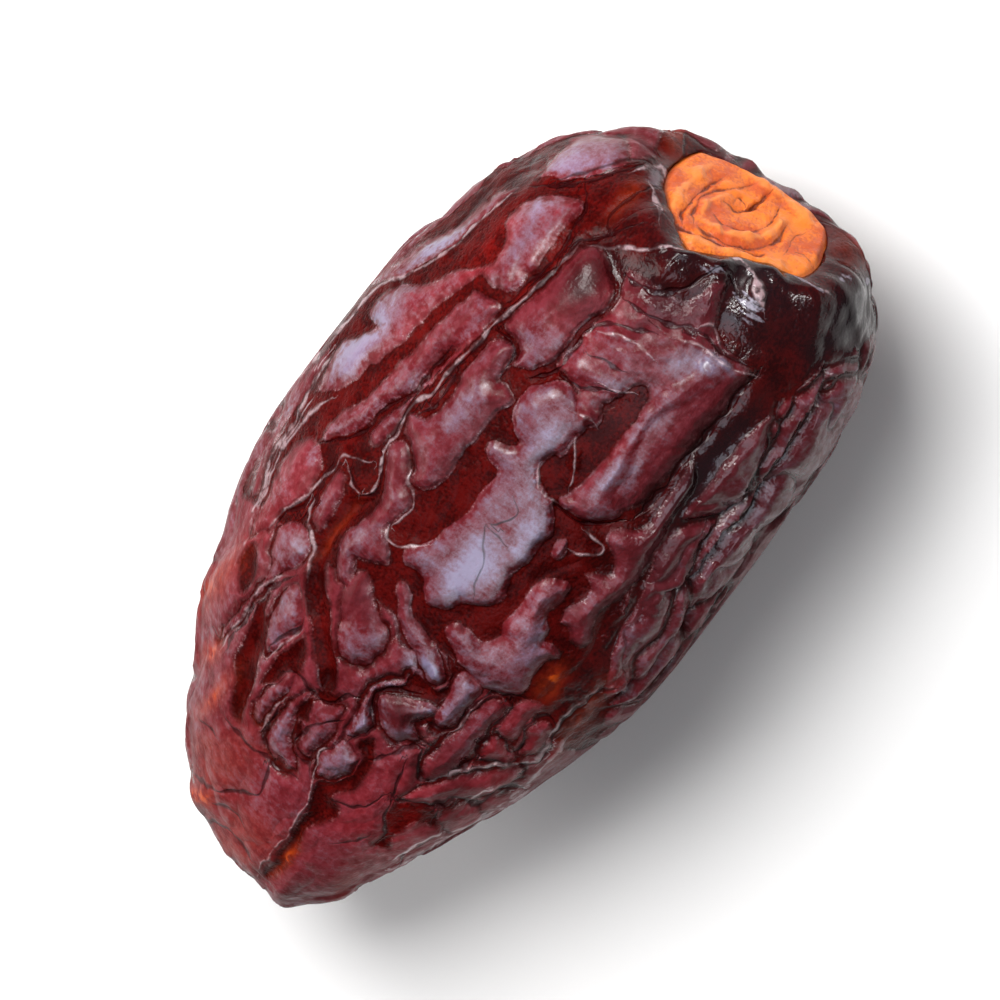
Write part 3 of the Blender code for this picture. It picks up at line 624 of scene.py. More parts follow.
# Grey bloom, with a painted bluish sheen where a broad lamp would reflect.
BLOOM_AND_SHEEN_SPOTS = (
    (-4.5, 0.9, 3, 1.8, 1.2), (-1, -0.4, 2.5, 1.4, 1.1), (3.8, 2.2, 2.4, 1.5, 0.8),
    (-5.5, -4.6, 2.6, 1.4, 0.85), (-2, -5, 1.5, 0.8, 0.5), (9, -2, 3, 1, 0.5), (5, -3.2, 1.5, 0.8, 0.7),
    (12, -1.5, 1.5, 1.5, 0.6), (-14, -1.2, 1, 1.2, -0.2), (-11, -0.5, 0.7, 1.2, 1.9),
    (-11.5, -3, 1.5, 0.8, 0.5), (-8, -1.2, 0.5, 1.2, 0.45), (2, 14.2, 3.5, 1.2, 1.3),
    (8.5, 14.4, 3, 1, 1.2), (-4, 14.8, 3, 0.6, 0.6), (1, 9.8, 2.5, 1, 0.7), (5, 8.8, 2, 0.6, 0.6),
    (-1.5, 11, 1.8, 0.8, 0.7), (2.5, 7, 2.6, 1.1, 0.75), (8, 6, 2.8, 1.4, 0.6), (15.5, 11, 3, 1.3, 0.9),
    (18.5, 10, 1.6, 1.6, 0.8), (-19, 0.6, 0.8, 0.6, 0.35), (12.9, -2.4, 0.6, 1.6, 0.9),
    (4.2, -2, 2.2, 0.6, 0.7), (15.8, 4.6, 0.25, 1.2, 0.9), (17.2, 2.2, 0.5, 1, 1.3),
    (17.2, -1.8, 0.8, 1.8, 1.5), (13.5, -3.3, 0.35, 1.6, 1.1), (8.6, 1, 0.7, 1.8, 0.6),
    (4.6, 3.4, 0.5, 1.5, 0.6), (12.2, 0.5, 0.4, 1.4, 0.5), (15.9, 4.9, 0.5, 0.7, 1),
    (20, -4.6, 0.8, 1.3, 1.5), (15, -3.5, 0.3, 1.2, 0.5), (12, 10.2, 3, 1.3, 0.6),
    (-9, 12.6, 3, 0.8, 0.4), (-7.5, 7.2, 2, 0.8, 0.45), (12.5, 8.8, 3, 0.9, 0.6), (5.5, 9.4, 3, 0.7, 0.6),
    (17.3, 10.8, 2.2, 1.6, 1), (-4, 12, 2.5, 0.8, 0.6), (-12, 11.2, 2, 0.8, 0.35),
    (-8, 10.5, 1.8, 0.9, 0.6), (-19.5, -3, 2.6, 1.2, 0.25), (-22.5, 3.5, 1.6, 1.4, 0.2),
    (-17, 4.2, 1.2, 0.8, 0.3), (-9, -4, 1.5, 0.8, 0.3),
)
# Painted light: here the skin's colour is brightened where more light falls on it.
PAINTED_LIGHT_SPOTS = (
    (-20, -5, 4, 2.6, 1.6), (-15, -7.6, 7, 1.8, 1.2), (-8, 12.2, 7, 1.8, 0.6), (11, 4.6, 4, 1.6, 0.6),
    (4, 12.2, 7, 1.6, 0.7), (5, 9.3, 4, 0.9, 0.7), (12.5, 8.8, 3.5, 1.2, 0.8), (10.5, 11.6, 3.5, 1, 1.4),
    (16, 10.2, 3, 2, 0.7), (6, -1, 2, 0.6, 0.5), (-13, 6.2, 3, 1.6, 0.35), (-24, 2, 3, 3, 0.35),
    (-9, -6, 3, 1.2, 0.4), (-5, -3.6, 3, 1.6, 0.4),
)
# White glints painted on the wet skin by the cap.
PAINTED_GLINT_SPOTS = (
    (16, -2.3, 0.5, 1.9, 0.5), (19.8, -4.4, 0.3, 1.3, 0.9), (18, -4.6, 0.3, 0.8, 0.5),
    (19.2, 5, 1.1, 0.3, 0.8), (20, 6.9, 0.6, 0.5, 0.8), (15.9, 0.6, 0.3, 1.2, 0.5),
    (21.4, -5.6, 0.4, 0.5, 0.55), (22.6, -7, 0.4, 0.4, 0.5), (17.6, 2.6, 0.4, 0.9, 0.5),
)
# Painted shade: darker and plainer skin where shade falls.
PAINTED_SHADE_SPOTS = (
    (8, -6.3, 4, 0.9, 1), (14.4, 1.6, 1.1, 2.4, 0.75), (13.6, 5.6, 1, 1, 0.6), (8.4, -4.6, 3.5, 0.7, 0.5),
    (11.6, 4.6, 1, 1.2, 0.3), (15.5, 6.8, 2, 0.5, 0.5), (2, -7.4, 3, 0.8, 0.8), (18.3, -5.4, 1.5, 1, 0.4),
    (15.7, 1.6, 1.4, 2.4, 0.6), (12.4, -4.6, 1.6, 0.9, 0.4), (12.2, 5.9, 1.6, 1.2, 1.1),
    (-13.9, -1, 0.9, 1.2, 0.8), (12.6, 1.8, 1, 1.2, 0.35), (-14.6, -4.6, 1.8, 0.8, 0.4),
    (-16, -6.8, 2, 0.9, 0.5), (-10.2, 5, 1.2, 1, 0.5),
)
# Dark wet skin by the cap, with painted shade over it and over the lower front.
DARK_SKIN_AND_SHADE_SPOTS = (
    (10.5, 0.5, 4, 4, 0.15), (14.3, 3.6, 1.3, 3.2, 0.7), (0, -8.8, 9, 1.6, 0.6), (17.5, -2, 3.6, 5, 1),
    (16.4, 1.8, 1.7, 2.6, 0.8), (13, 6.2, 1.4, 1.2, 0.45), (17.2, 5, 1.6, 1.6, 0.6),
    (8, -6.4, 8, 1.5, 0.9), (20, -7.5, 5, 3.5, 1), (9, -9.5, 9, 3, 0.75), (1.6, 8.8, 1.3, 0.2, 0.5),
    (16, 12.9, 1.6, 0.6, 0.4), (21, 10.5, 1.2, 1.5, 0.35), (13.6, 2, 0.3, 2.4, 0.4),
)

# %% [markdown]
# ## From drawings to fields
#
# Each drawing becomes a field, which is one number for each point of the skin: how deep it
# is inside the nearest outline, or how far it is from the nearest line.

# %% Distances to outlines, lines and spots
TENTHS = 10.0
FAR = 2.0
CURVE_STEP = 0.45
END_TAPER = 0.9
END_FADE = (-0.3, 1.0)
# The lines grow and shrink along their way. Each: how much, and how fast a millimetre.
SWAY_MIDDLE = 0.8
SWAYS = ((0.35, 2.6), (0.2, 5.9))


def flowing(row):
    """The drawn places joined by a smooth curve (Catmull-Rom), as a closer row of points."""
    drawn = np.reshape(row, (-1, 2)) / TENTHS
    padded = np.concatenate((2.0 * drawn[:1] - drawn[1:2], drawn, 2.0 * drawn[-1:] - drawn[-2:-1]))
    curve = []
    for place in range(1, len(padded) - 2):
        p0, p1, p2, p3 = padded[place - 1:place + 3]
        count = max(2, int(np.linalg.norm(p2 - p1) / CURVE_STEP))
        for t in np.arange(count) / count:
            curve.append(0.5 * (2.0 * p1 + (p2 - p0) * t + (2.0 * p0 - 5.0 * p1 + 4.0 * p2 - p3) * t * t
                                + (3.0 * p1 - p0 - 3.0 * p2 + p3) * t * t * t))
    curve.append(drawn[-1])
    return np.array(curve)


def near_box(along, across, corners, margin):
    low, high = corners.min(axis=0) - margin, corners.max(axis=0) + margin
    return np.nonzero((along > low[0]) & (along < high[0]) & (across > low[1]) & (across < high[1]))[0]


def depth_inside(along, across, outline):
    """How far each place is inside an outline: below zero outside it, and -2 far away."""
    corners = flowing(outline + outline[:2])[:-1]
    result = np.full(len(along), -FAR)
    close = near_box(along, across, corners, FAR)
    x, y = along[close], across[close]
    nearest = np.full(len(close), FAR)
    crossings = np.zeros(len(close), int)
    for (x0, y0), (x1, y1) in zip(corners, np.roll(corners, -1, axis=0)):
        run, rise = x1 - x0, y1 - y0
        spot = np.clip(((x - x0) * run + (y - y0) * rise) / (run * run + rise * rise), 0.0, 1.0)
        nearest = np.minimum(nearest, np.hypot(x - x0 - spot * run, y - y0 - spot * rise))
        if y0 != y1:
            spans = (y < max(y0, y1)) & (y >= min(y0, y1))
            crossings += spans & (x < x0 + (y - y0) * run / rise)
    result[close] = np.where(crossings % 2 == 1, nearest, -nearest)
    return result


def line_fields(along, across, lines):
    """The nearest line of each place: signed distance, half width and height of that line."""
    side = np.full(len(along), FAR)
    width = np.zeros(len(along))
    amount = np.zeros(len(along))
    for half_width, height, line in lines:
        corners = flowing(line)
        close = near_box(along, across, corners, FAR)
        x, y = along[close], across[close]
        nearest = np.full(len(close), FAR)
        sign = np.ones(len(close))
        place = np.zeros(len(close))
        steps = np.linalg.norm(np.diff(corners, axis=0), axis=1)
        begin = 0.0
        for (x0, y0), (x1, y1), length in zip(corners[:-1], corners[1:], steps):
            run, rise = (x1 - x0) / length, (y1 - y0) / length
            spot = np.clip((x - x0) * run + (y - y0) * rise, 0.0, length)
            away = np.hypot(x - x0 - spot * run, y - y0 - spot * rise)
            closer = away < nearest
            nearest[closer] = away[closer]
            place[closer] = begin + spot[closer]
            left = (y - y0) * run - (x - x0) * rise >= 0.0
            sign[closer] = np.where(left[closer], 1.0, -1.0)
            begin += length
        ends = np.minimum(place, begin - place) / END_TAPER
        sway = SWAY_MIDDLE
        for (size, pace), phase in zip(SWAYS, corners[0]):
            sway = sway + size * np.sin(place * pace + phase)
        share = sway * fade(END_FADE, ends)
        closer = nearest < np.abs(side[close])
        chosen = close[closer]
        side[chosen] = (nearest * sign)[closer]
        width[chosen] = (half_width * share)[closer]
        amount[chosen] = (height * share)[closer]
    return side, width, amount


def wobble(points, size, amount, shift):
    """Moves the points by smooth noise, so that drawn edges lose their straightness."""
    moved = [noise.noise_vector(Vector(point) / size + Vector((shift, 0.0, 0.0))) for point in points]
    return points + amount * np.array(moved)


def spots_at(along, across, spots, join=np.maximum):
    total = np.zeros(len(along))
    for x, y, reach_x, reach_y, strength in spots:
        away = ((along - x) / reach_x) ** 2 + ((across - y) / reach_y) ** 2
        total = join(total, strength * np.exp(-away))
    return total


# %% Fields of the drawing
# The part of the skin that is drawn. The net of folds covers the rest.
DRAWN_LIMIT = (
    -290, -30, -260, -65, -220, -90, -140, -120, -80, -110, -45, -90, -20, -78, 20, -74, 80, -69,
    140, -72, 190, -85, 260, -100, 270, 20, 250, 130, 160, 180, 0, 200, -140, 170, -290, 90,
)
LEAN_OFFSET = 1.45
# Each: size of the noise, how far it moves a place, and its shift.
EDGE_WOBBLES = ((1.9, 0.22, 3.0), (0.7, 0.12, 17.0))
MESH_EDGE = (-0.25, 0.4)
PILLOW_REACH = 0.8
PILLOW_SHARE = 1.7
STEP_SHARE = 0.35
LINE_REACH = 0.33
VALLEY_EDGE = (-0.2, 0.6)
# Towards the tip the ground between the islands is one more island.
GROUND_EDGE = -9.6
GROUND_GAP = 0.1
GROUND_BLOOM = 0.22
GROUND_HEIGHT = 0.14
NARROW_GAP = (0.35, 1.1)
NARROW_EDGE = (-0.4, 0.0)

for vert, point in zip(fruit_shape.verts, smooth_points):
    vert.co = Vector(point)
fruit_shape.normal_update()
smooth_normals = np.array([tuple(vert.normal) for vert in fruit_shape.verts])
wobbled = smooth_points
for size, amount, shift in EDGE_WOBBLES:
    wobbled = wobble(wobbled, size, amount, shift)
facing = smooth_normals @ np.array(TOWARDS_CAMERA)
u = (wobbled - np.array((0.0, 0.0, MID_HEIGHT))) @ np.array(ALONG) - LEAN_OFFSET
v = wobbled[:, 1]

inside = np.full(len(u), -FAR)
second = np.full(len(u), -FAR)
top_height = np.zeros(len(u))
bloom_and_sheen = np.zeros(len(u))
for height, share, outline in ISLANDS:
    depth = depth_inside(u, v, outline)
    part = fade(MESH_EDGE, depth)
    pillow = 1.0 - np.exp(-np.maximum(depth, 0.0) / PILLOW_REACH)
    top_height = np.maximum(top_height, height * (STEP_SHARE * part + PILLOW_SHARE * pillow))
    bloom_and_sheen = np.where(depth > inside, share, bloom_and_sheen)
    second = np.maximum(second, np.minimum(inside, depth))
    inside = np.maximum(inside, depth)
ground = np.minimum(GROUND_EDGE - u, -inside - GROUND_GAP)
bloom_and_sheen = np.where(ground > inside, GROUND_BLOOM, bloom_and_sheen)
gap = -inside - np.maximum(second, np.minimum(inside, ground))
narrow = np.maximum(1.0 - fade(NARROW_GAP, gap), fade(NARROW_EDGE, GROUND_EDGE - u))
top_height = np.maximum(top_height, GROUND_HEIGHT * fade(MESH_EDGE, ground))
hollow = np.full(len(u), -FAR)
valley_depth = np.zeros(len(u))
for depth, outline in VALLEYS:
    within = depth_inside(u, v, outline)
    hollow = np.maximum(hollow, within)
    valley_depth = np.maximum(valley_depth, depth * fade(VALLEY_EDGE, within))
crease_side, crease_width, crease_depth = line_fields(u, v, CREASES)
crest_side, crest_width, crest_height = line_fields(u, v, CRESTS)
crease_depth = crease_depth * np.exp(-((crease_side / LINE_REACH) ** 2))
crest_height = crest_height * np.exp(-((crest_side / LINE_REACH) ** 2))
print("drawn:", len(ISLANDS), "islands,", len(VALLEYS), "valleys,",
      len(CREASES), "creases,", len(CRESTS), "crests")

# %% [markdown]
# ## The seat of the cap
#
# At the stem end the skin stops at a shallow seat. Its rim is puckered, because the
# shrinking flesh pulls on the dry cap. The rings near it are bent to the cap's outline, and
# the wall leans inwards as a lip, so that the skin closes round the cap.

# %% Seat and rim
LIP_REACH = 0.45
LIP_LEAN = 0.5
SWELL_POWER = 0.6
PUCKER_START = 0.8
PUCKER_FADE = (1.5, 6.0)
TINY = 1e-6

seat_normal, seat_side, seat_up = seat_axes()
seat_centre = smooth_points[np.argmin(arc_lengths)]
outward = arc_lengths - CAP_MEAN_RADIUS - SEAT_GAP - SEAT_WALL


def seated(points):
    away = points - seat_centre
    a, b, height = away @ seat_side, away @ seat_up, away @ seat_normal
    radius, angle = np.hypot(a, b), np.arctan2(b, a)
    foot = CAP_MEAN_RADIUS + SEAT_GAP
    share = 1.0 - fade(WARP_FADE, arc_lengths)
    radius = radius * (1.0 + share * (cap_radius(angle) / CAP_MEAN_RADIUS - 1.0))
    inside_seat = arc_lengths <= foot + TINY
    plane = np.median(height[np.abs(outward) < TINY])
    wall = np.clip((arc_lengths - foot) / SEAT_WALL, 0.0, 1.0)
    lip = np.where(outward < 0.0, wall, np.exp(-((outward / LIP_REACH) ** 2)))
    floor_radius = (cap_radius(angle) + SEAT_GAP) * arc_lengths / foot
    radius = np.where(inside_seat, floor_radius, radius - LIP_LEAN * lip)
    level = 1.0 - smooth(0.0, RIM_REACH, outward)
    pucker = sum(size * np.sin(count * angle + phase) for count, phase, size in PUCKERS)
    swell = np.sin(math.pi * np.clip(outward / RIM_REACH, 0.0, 1.0) ** SWELL_POWER)
    bulge = (RIM_HEIGHT + RIM_LIFT * np.sin(angle)) * swell
    fold = pucker * np.clip(outward / PUCKER_START, 0.0, 1.0)
    fold = fold * (1.0 - fade(PUCKER_FADE, outward))
    raised = height * (1.0 - level) + plane * level + bulge + fold
    height = np.where(outward < 0.0, plane - SEAT_DEPTH * (1.0 - smooth(0.0, 1.0, wall)), raised)
    flat = np.outer(radius * np.cos(angle), seat_side) + np.outer(radius * np.sin(angle), seat_up)
    return seat_centre + flat + np.outer(height, seat_normal), plane


# %% [markdown]
# ## The net of folds behind
#
# Where the camera doesn't look, the skin is a net of long cells with narrow creases between
# them, and finer folds run over it. A Voronoi texture has such cells, and the lines where a
# noise changes its sign run like the folds. Geometry Nodes hold both rules: the tree bends
# the space with noise, stretches it along the date, and finds each point's distance to the
# nearest line from the texture and its slope over the skin. Then it moves every point of
# the smooth fruit along its normal, by the drawn folds in front and by both patterns behind.

# %% Cells of the net
NET_NUMBERS = {
    "Net Along": 15.0, "Net Around": 3.4, "Net Bend": 1.8, "Net Bend Size": 6.0,
    "Fold Along": 15.0, "Fold Around": 4.4, "Fold Bend": 1.5, "Fold Bend Size": 5.0,
}
NET_OFFSET = (31.7, 12.9, 47.3)
FOLD_OFFSET = (5.1, 71.3, 22.8)
# Noise stays near the middle of its range, so the bends and the heights from it are stretched.
BEND_STRETCH = 4.0
HEIGHT_STRETCH = 2.0
NOISE_MIDDLE = (0.5, 0.5, 0.5)


def vector(tree, operation, *items, out=0):
    return node(tree, "ShaderNodeVectorMath", {"operation": operation},
                {place: item for place, item in enumerate(items)}, out)


def scaled(tree, item, amount):
    return node(tree, "ShaderNodeVectorMath", {"operation": "SCALE"}, {0: item, "Scale": amount})


def noise_texture(tree, place, scale, detail):
    """Noise around zero, from about -0.5 to 0.5."""
    return node(tree, "ShaderNodeTexNoise", {}, {"Vector": place, "Scale": scale, "Detail": detail}) - 0.5


def bent_place(tree, spot, numbers, title, offset):
    """The place in cells of a pattern, bent by noise. The numbers are plain ones or sockets of a tree."""
    bent = node(tree, "ShaderNodeTexNoise", {},
                {"Vector": vector(tree, "ADD", spot, offset), "Scale": 1.0 / numbers[title + " Bend Size"],
                 "Detail": 1.0}, out=1)
    bend = vector(tree, "SUBTRACT", bent, NOISE_MIDDLE)
    bend = scaled(tree, bend, numbers[title + " Bend"] * BEND_STRETCH)
    along, around = numbers[title + " Along"], numbers[title + " Around"]
    sizes = node(tree, "ShaderNodeCombineXYZ", {}, {"X": along, "Y": around, "Z": around})
    return vector(tree, "ADD", vector(tree, "DIVIDE", vector(tree, "ADD", spot, bend), sizes), offset)


def net_texture(tree, spot, numbers, feature="DISTANCE_TO_EDGE", out=0):
    """Long bent cells round the date."""
    place = bent_place(tree, spot, numbers, "Net", NET_OFFSET)
    return node(tree, "ShaderNodeTexVoronoi", {"feature": feature},
                {"Vector": place, "Scale": 1.0, "Randomness": 1.0}, out)


def fold_texture(tree, spot, numbers):
    """Noise whose zero lines run along the date as long bent folds."""
    place = bent_place(tree, spot, numbers, "Fold", FOLD_OFFSET)
    return noise_texture(tree, place, 1.0, 0.6)


# %% Tree of the skin's relief
RELIEF_NUMBERS = {
    **NET_NUMBERS, "Net Reach": 0.4, "Net Depth": 0.16, "Pillow Height": 0.35, "Pillow Reach": 1.3,
    "Step Height": 0.14, "Fold Reach": 0.25, "Fold Depth": 0.1, "Fold Height": 0.3, "Fold Pillow": 0.7,
    "Grain Size": 0.6, "Grain Height": 0.02, "Swell Size": 8.0, "Swell Height": 0.3, "Inset": 0.22,
}
SAMPLE_STEP = 0.05
LEAST_NET_SLOPE = 0.3
LEAST_FOLD_SLOPE = 0.15
STEP_REACH = 0.6
GRAIN_STRETCH = (0.5, 1.0, 1.0)
BLOOM_BEHIND = (0.05, 0.3)


def relief_tree():
    tree = bpy.data.node_groups.new("skin_relief", "GeometryNodeTree")
    tree.interface.new_socket("Geometry", in_out="INPUT", socket_type="NodeSocketGeometry")
    for name, amount in RELIEF_NUMBERS.items():
        made = tree.interface.new_socket(name, in_out="INPUT", socket_type="NodeSocketFloat")
        made.default_value = amount
    tree.interface.new_socket("Material", in_out="INPUT", socket_type="NodeSocketMaterial")
    tree.interface.new_socket("Geometry", in_out="OUTPUT", socket_type="NodeSocketGeometry")
    entry = tree.nodes.new("NodeGroupInput")
    inputs = {socket.name: Value(tree, socket) for socket in entry.outputs if socket.name}

    def attribute(name):
        return node(tree, "GeometryNodeInputNamedAttribute", {"data_type": "FLOAT"}, {"Name": name})

    def mixed(share, first, second):
        return first + (second - first) * share

    normal = node(tree, "GeometryNodeInputNormal")
    place = node(tree, "GeometryNodeInputPosition")

    def slope_and_distance(texture, least):
        """The pattern's slope over the skin, and the distance in millimetres that it gives."""
        here = texture(tree, place, inputs)
        slopes = []
        for step in ((SAMPLE_STEP, 0.0, 0.0), (0.0, SAMPLE_STEP, 0.0), (0.0, 0.0, SAMPLE_STEP)):
            slopes.append((texture(tree, vector(tree, "ADD", place, step), inputs) - here) / SAMPLE_STEP)
        slope = node(tree, "ShaderNodeCombineXYZ", {}, dict(zip("XYZ", slopes)))
        rise = vector(tree, "DOT_PRODUCT", slope, normal, out=1)
        flat_slope = vector(tree, "SUBTRACT", slope, scaled(tree, normal, rise))
        over_skin = vector(tree, "LENGTH", flat_slope, out=1).most(least)
        return over_skin, here.size() / over_skin

    net_slope, net_away = slope_and_distance(net_texture, LEAST_NET_SLOPE / inputs["Net Around"])
    fold_slope, fold_away = slope_and_distance(fold_texture, LEAST_FOLD_SLOPE / inputs["Fold Around"])
    cell = node(tree, "ShaderNodeSeparateXYZ", {}, {"Vector": net_texture(tree, place, inputs, "F1", 1)})
    crack = net_away / inputs["Net Reach"]
    fold_crack = fold_away / inputs["Fold Reach"]
    fold = ((1.0 - (-(fold_away / inputs["Fold Pillow"])).exponent()) * inputs["Fold Height"]
            - (-(fold_crack * fold_crack)).exponent() * inputs["Fold Depth"])
    swell = noise_texture(tree, place, 1.0 / inputs["Swell Size"], 0.0)
    grain_place = vector(tree, "MULTIPLY", place, GRAIN_STRETCH)
    grain = noise_texture(tree, grain_place, 1.0 / inputs["Grain Size"], 2.0)
    front = attribute("front")
    net_height = ((1.0 - (-(net_away / inputs["Pillow Reach"])).exponent()) * inputs["Pillow Height"]
                  + (cell - 0.5) * inputs["Step Height"] * step_between(tree, net_away, 0.0, STEP_REACH)
                  - (-(crack * crack)).exponent() * inputs["Net Depth"])
    height = mixed(front, net_height, attribute("drawn"))
    height = height + fold * attribute("fold_lines")
    height = height + swell * HEIGHT_STRETCH * inputs["Swell Height"]
    height = height + grain * HEIGHT_STRETCH * inputs["Grain Height"]
    height = (height - inputs["Inset"]) * attribute("fold_share") + attribute("trim")

    def stored(geometry, name, amount, kind="FLOAT"):
        return node(tree, "GeometryNodeStoreNamedAttribute", {"data_type": kind, "domain": "POINT"},
                    {"Geometry": geometry, "Name": name, "Value": amount})

    geometry = stored(inputs["Geometry"], "rest_place", place, "FLOAT_VECTOR")
    geometry = stored(geometry, "net_slope", net_slope)
    geometry = stored(geometry, "fold_slope", fold_slope)
    behind = BLOOM_BEHIND[0] + cell * BLOOM_BEHIND[1]
    geometry = stored(geometry, "bloom_and_sheen", mixed(front, behind, attribute("bloom_and_sheen")))
    moved = node(tree, "GeometryNodeSetPosition", {},
                 {"Geometry": geometry, "Offset": scaled(tree, normal, height)})
    real = node(tree, "GeometryNodeRealizeInstances", {}, {"Geometry": moved})
    dressed = node(tree, "GeometryNodeSetMaterial", {},
                   {"Geometry": real, "Material": inputs["Material"]})
    exit_node = tree.nodes.new("NodeGroupOutput")
    tree.links.new(dressed.socket, exit_node.inputs[0])
    return tree


# %% [markdown]
# ## The skin's material
#
# The flesh shines deep red through the thin skin in the valleys, and painted light brightens the
# colour where more light falls. The tops of the folds are covered with waxy bloom, which is grey,
# with a painted bluish sheen where it is thick. Each top has a pale edge of painted highlight with
# tiny painted sparkles, and a crack beside it darkened with painted shade. Painted shade also darkens
# the skin where shade falls, and an orange glow of light through the flesh is painted in places. By
# the cap the skin is wet and nearly black, partly from painted shade, with white glints, some of them
# painted. The edges are taken from the distances stored on the mesh and frayed with noise, so they
# stay sharp close up.

# %% Skin material
CREASE_WIDTH = 0.14
# Several of these tones paint light: the film tones carry painted sheen, the shade and crack tones are
# painted shade, the rim, crest, grain and glint tones are painted highlights, the ember and orange tones are
# a painted glow, and the wet tone is partly painted shade.
SKIN_TONES = {
    "flesh": "280202", "bright flesh": "480706", "dark mauve": "541319", "mauve": "6a262f",
    "thin film": "66434f", "thick film": "746882", "painted_shade": "250406", "crack": "200406", "rim": "b08488",
    "crest": "b89ca2", "bright crest highlight": "f0d4d8", "ember": "8a2a12", "orange": "c04e14", "grain": "d9c2c2",
    "wet": "17090f", "glint": "b9b4c6",
}
PAINTED_LIGHT_TINT = (0.75, 0.4, 0.36)
STREAK_STRETCH = (1.0, 0.22, 0.6)
STREAK_SCALE = 2400.0
PLEAT_STRETCH = (1.0, 0.28, 1.0)
PLEAT_SCALE = 420.0
skin = bpy.data.materials.new("date_skin")
skin.use_nodes = True


def mix(tree, share, first, second):
    made = tree.nodes.new("ShaderNodeMix")
    made.data_type = "RGBA"
    feed(tree, made.inputs[0], share)
    for slot, item in ((made.inputs[6], first), (made.inputs[7], second)):
        feed(tree, slot, item if isinstance(item, Value) else (*item, 1.0))
    return Value(tree, made.outputs[2])


def helpers(tree):
    """The place in a material, and two functions: for a mesh attribute, and for noise of a size."""
    place = node(tree, "ShaderNodeTexCoord", {}, {}, out=3)

    def attribute(name):
        return node(tree, "ShaderNodeAttribute", {"attribute_name": name}, {}, out=2)

    def speckle(size, detail=2.0):
        """Noise around zero, with lumps of the given size in millimetres."""
        return noise_texture(tree, place, 1.0 / (size * MILLIMETRE), detail)

    return place, attribute, speckle


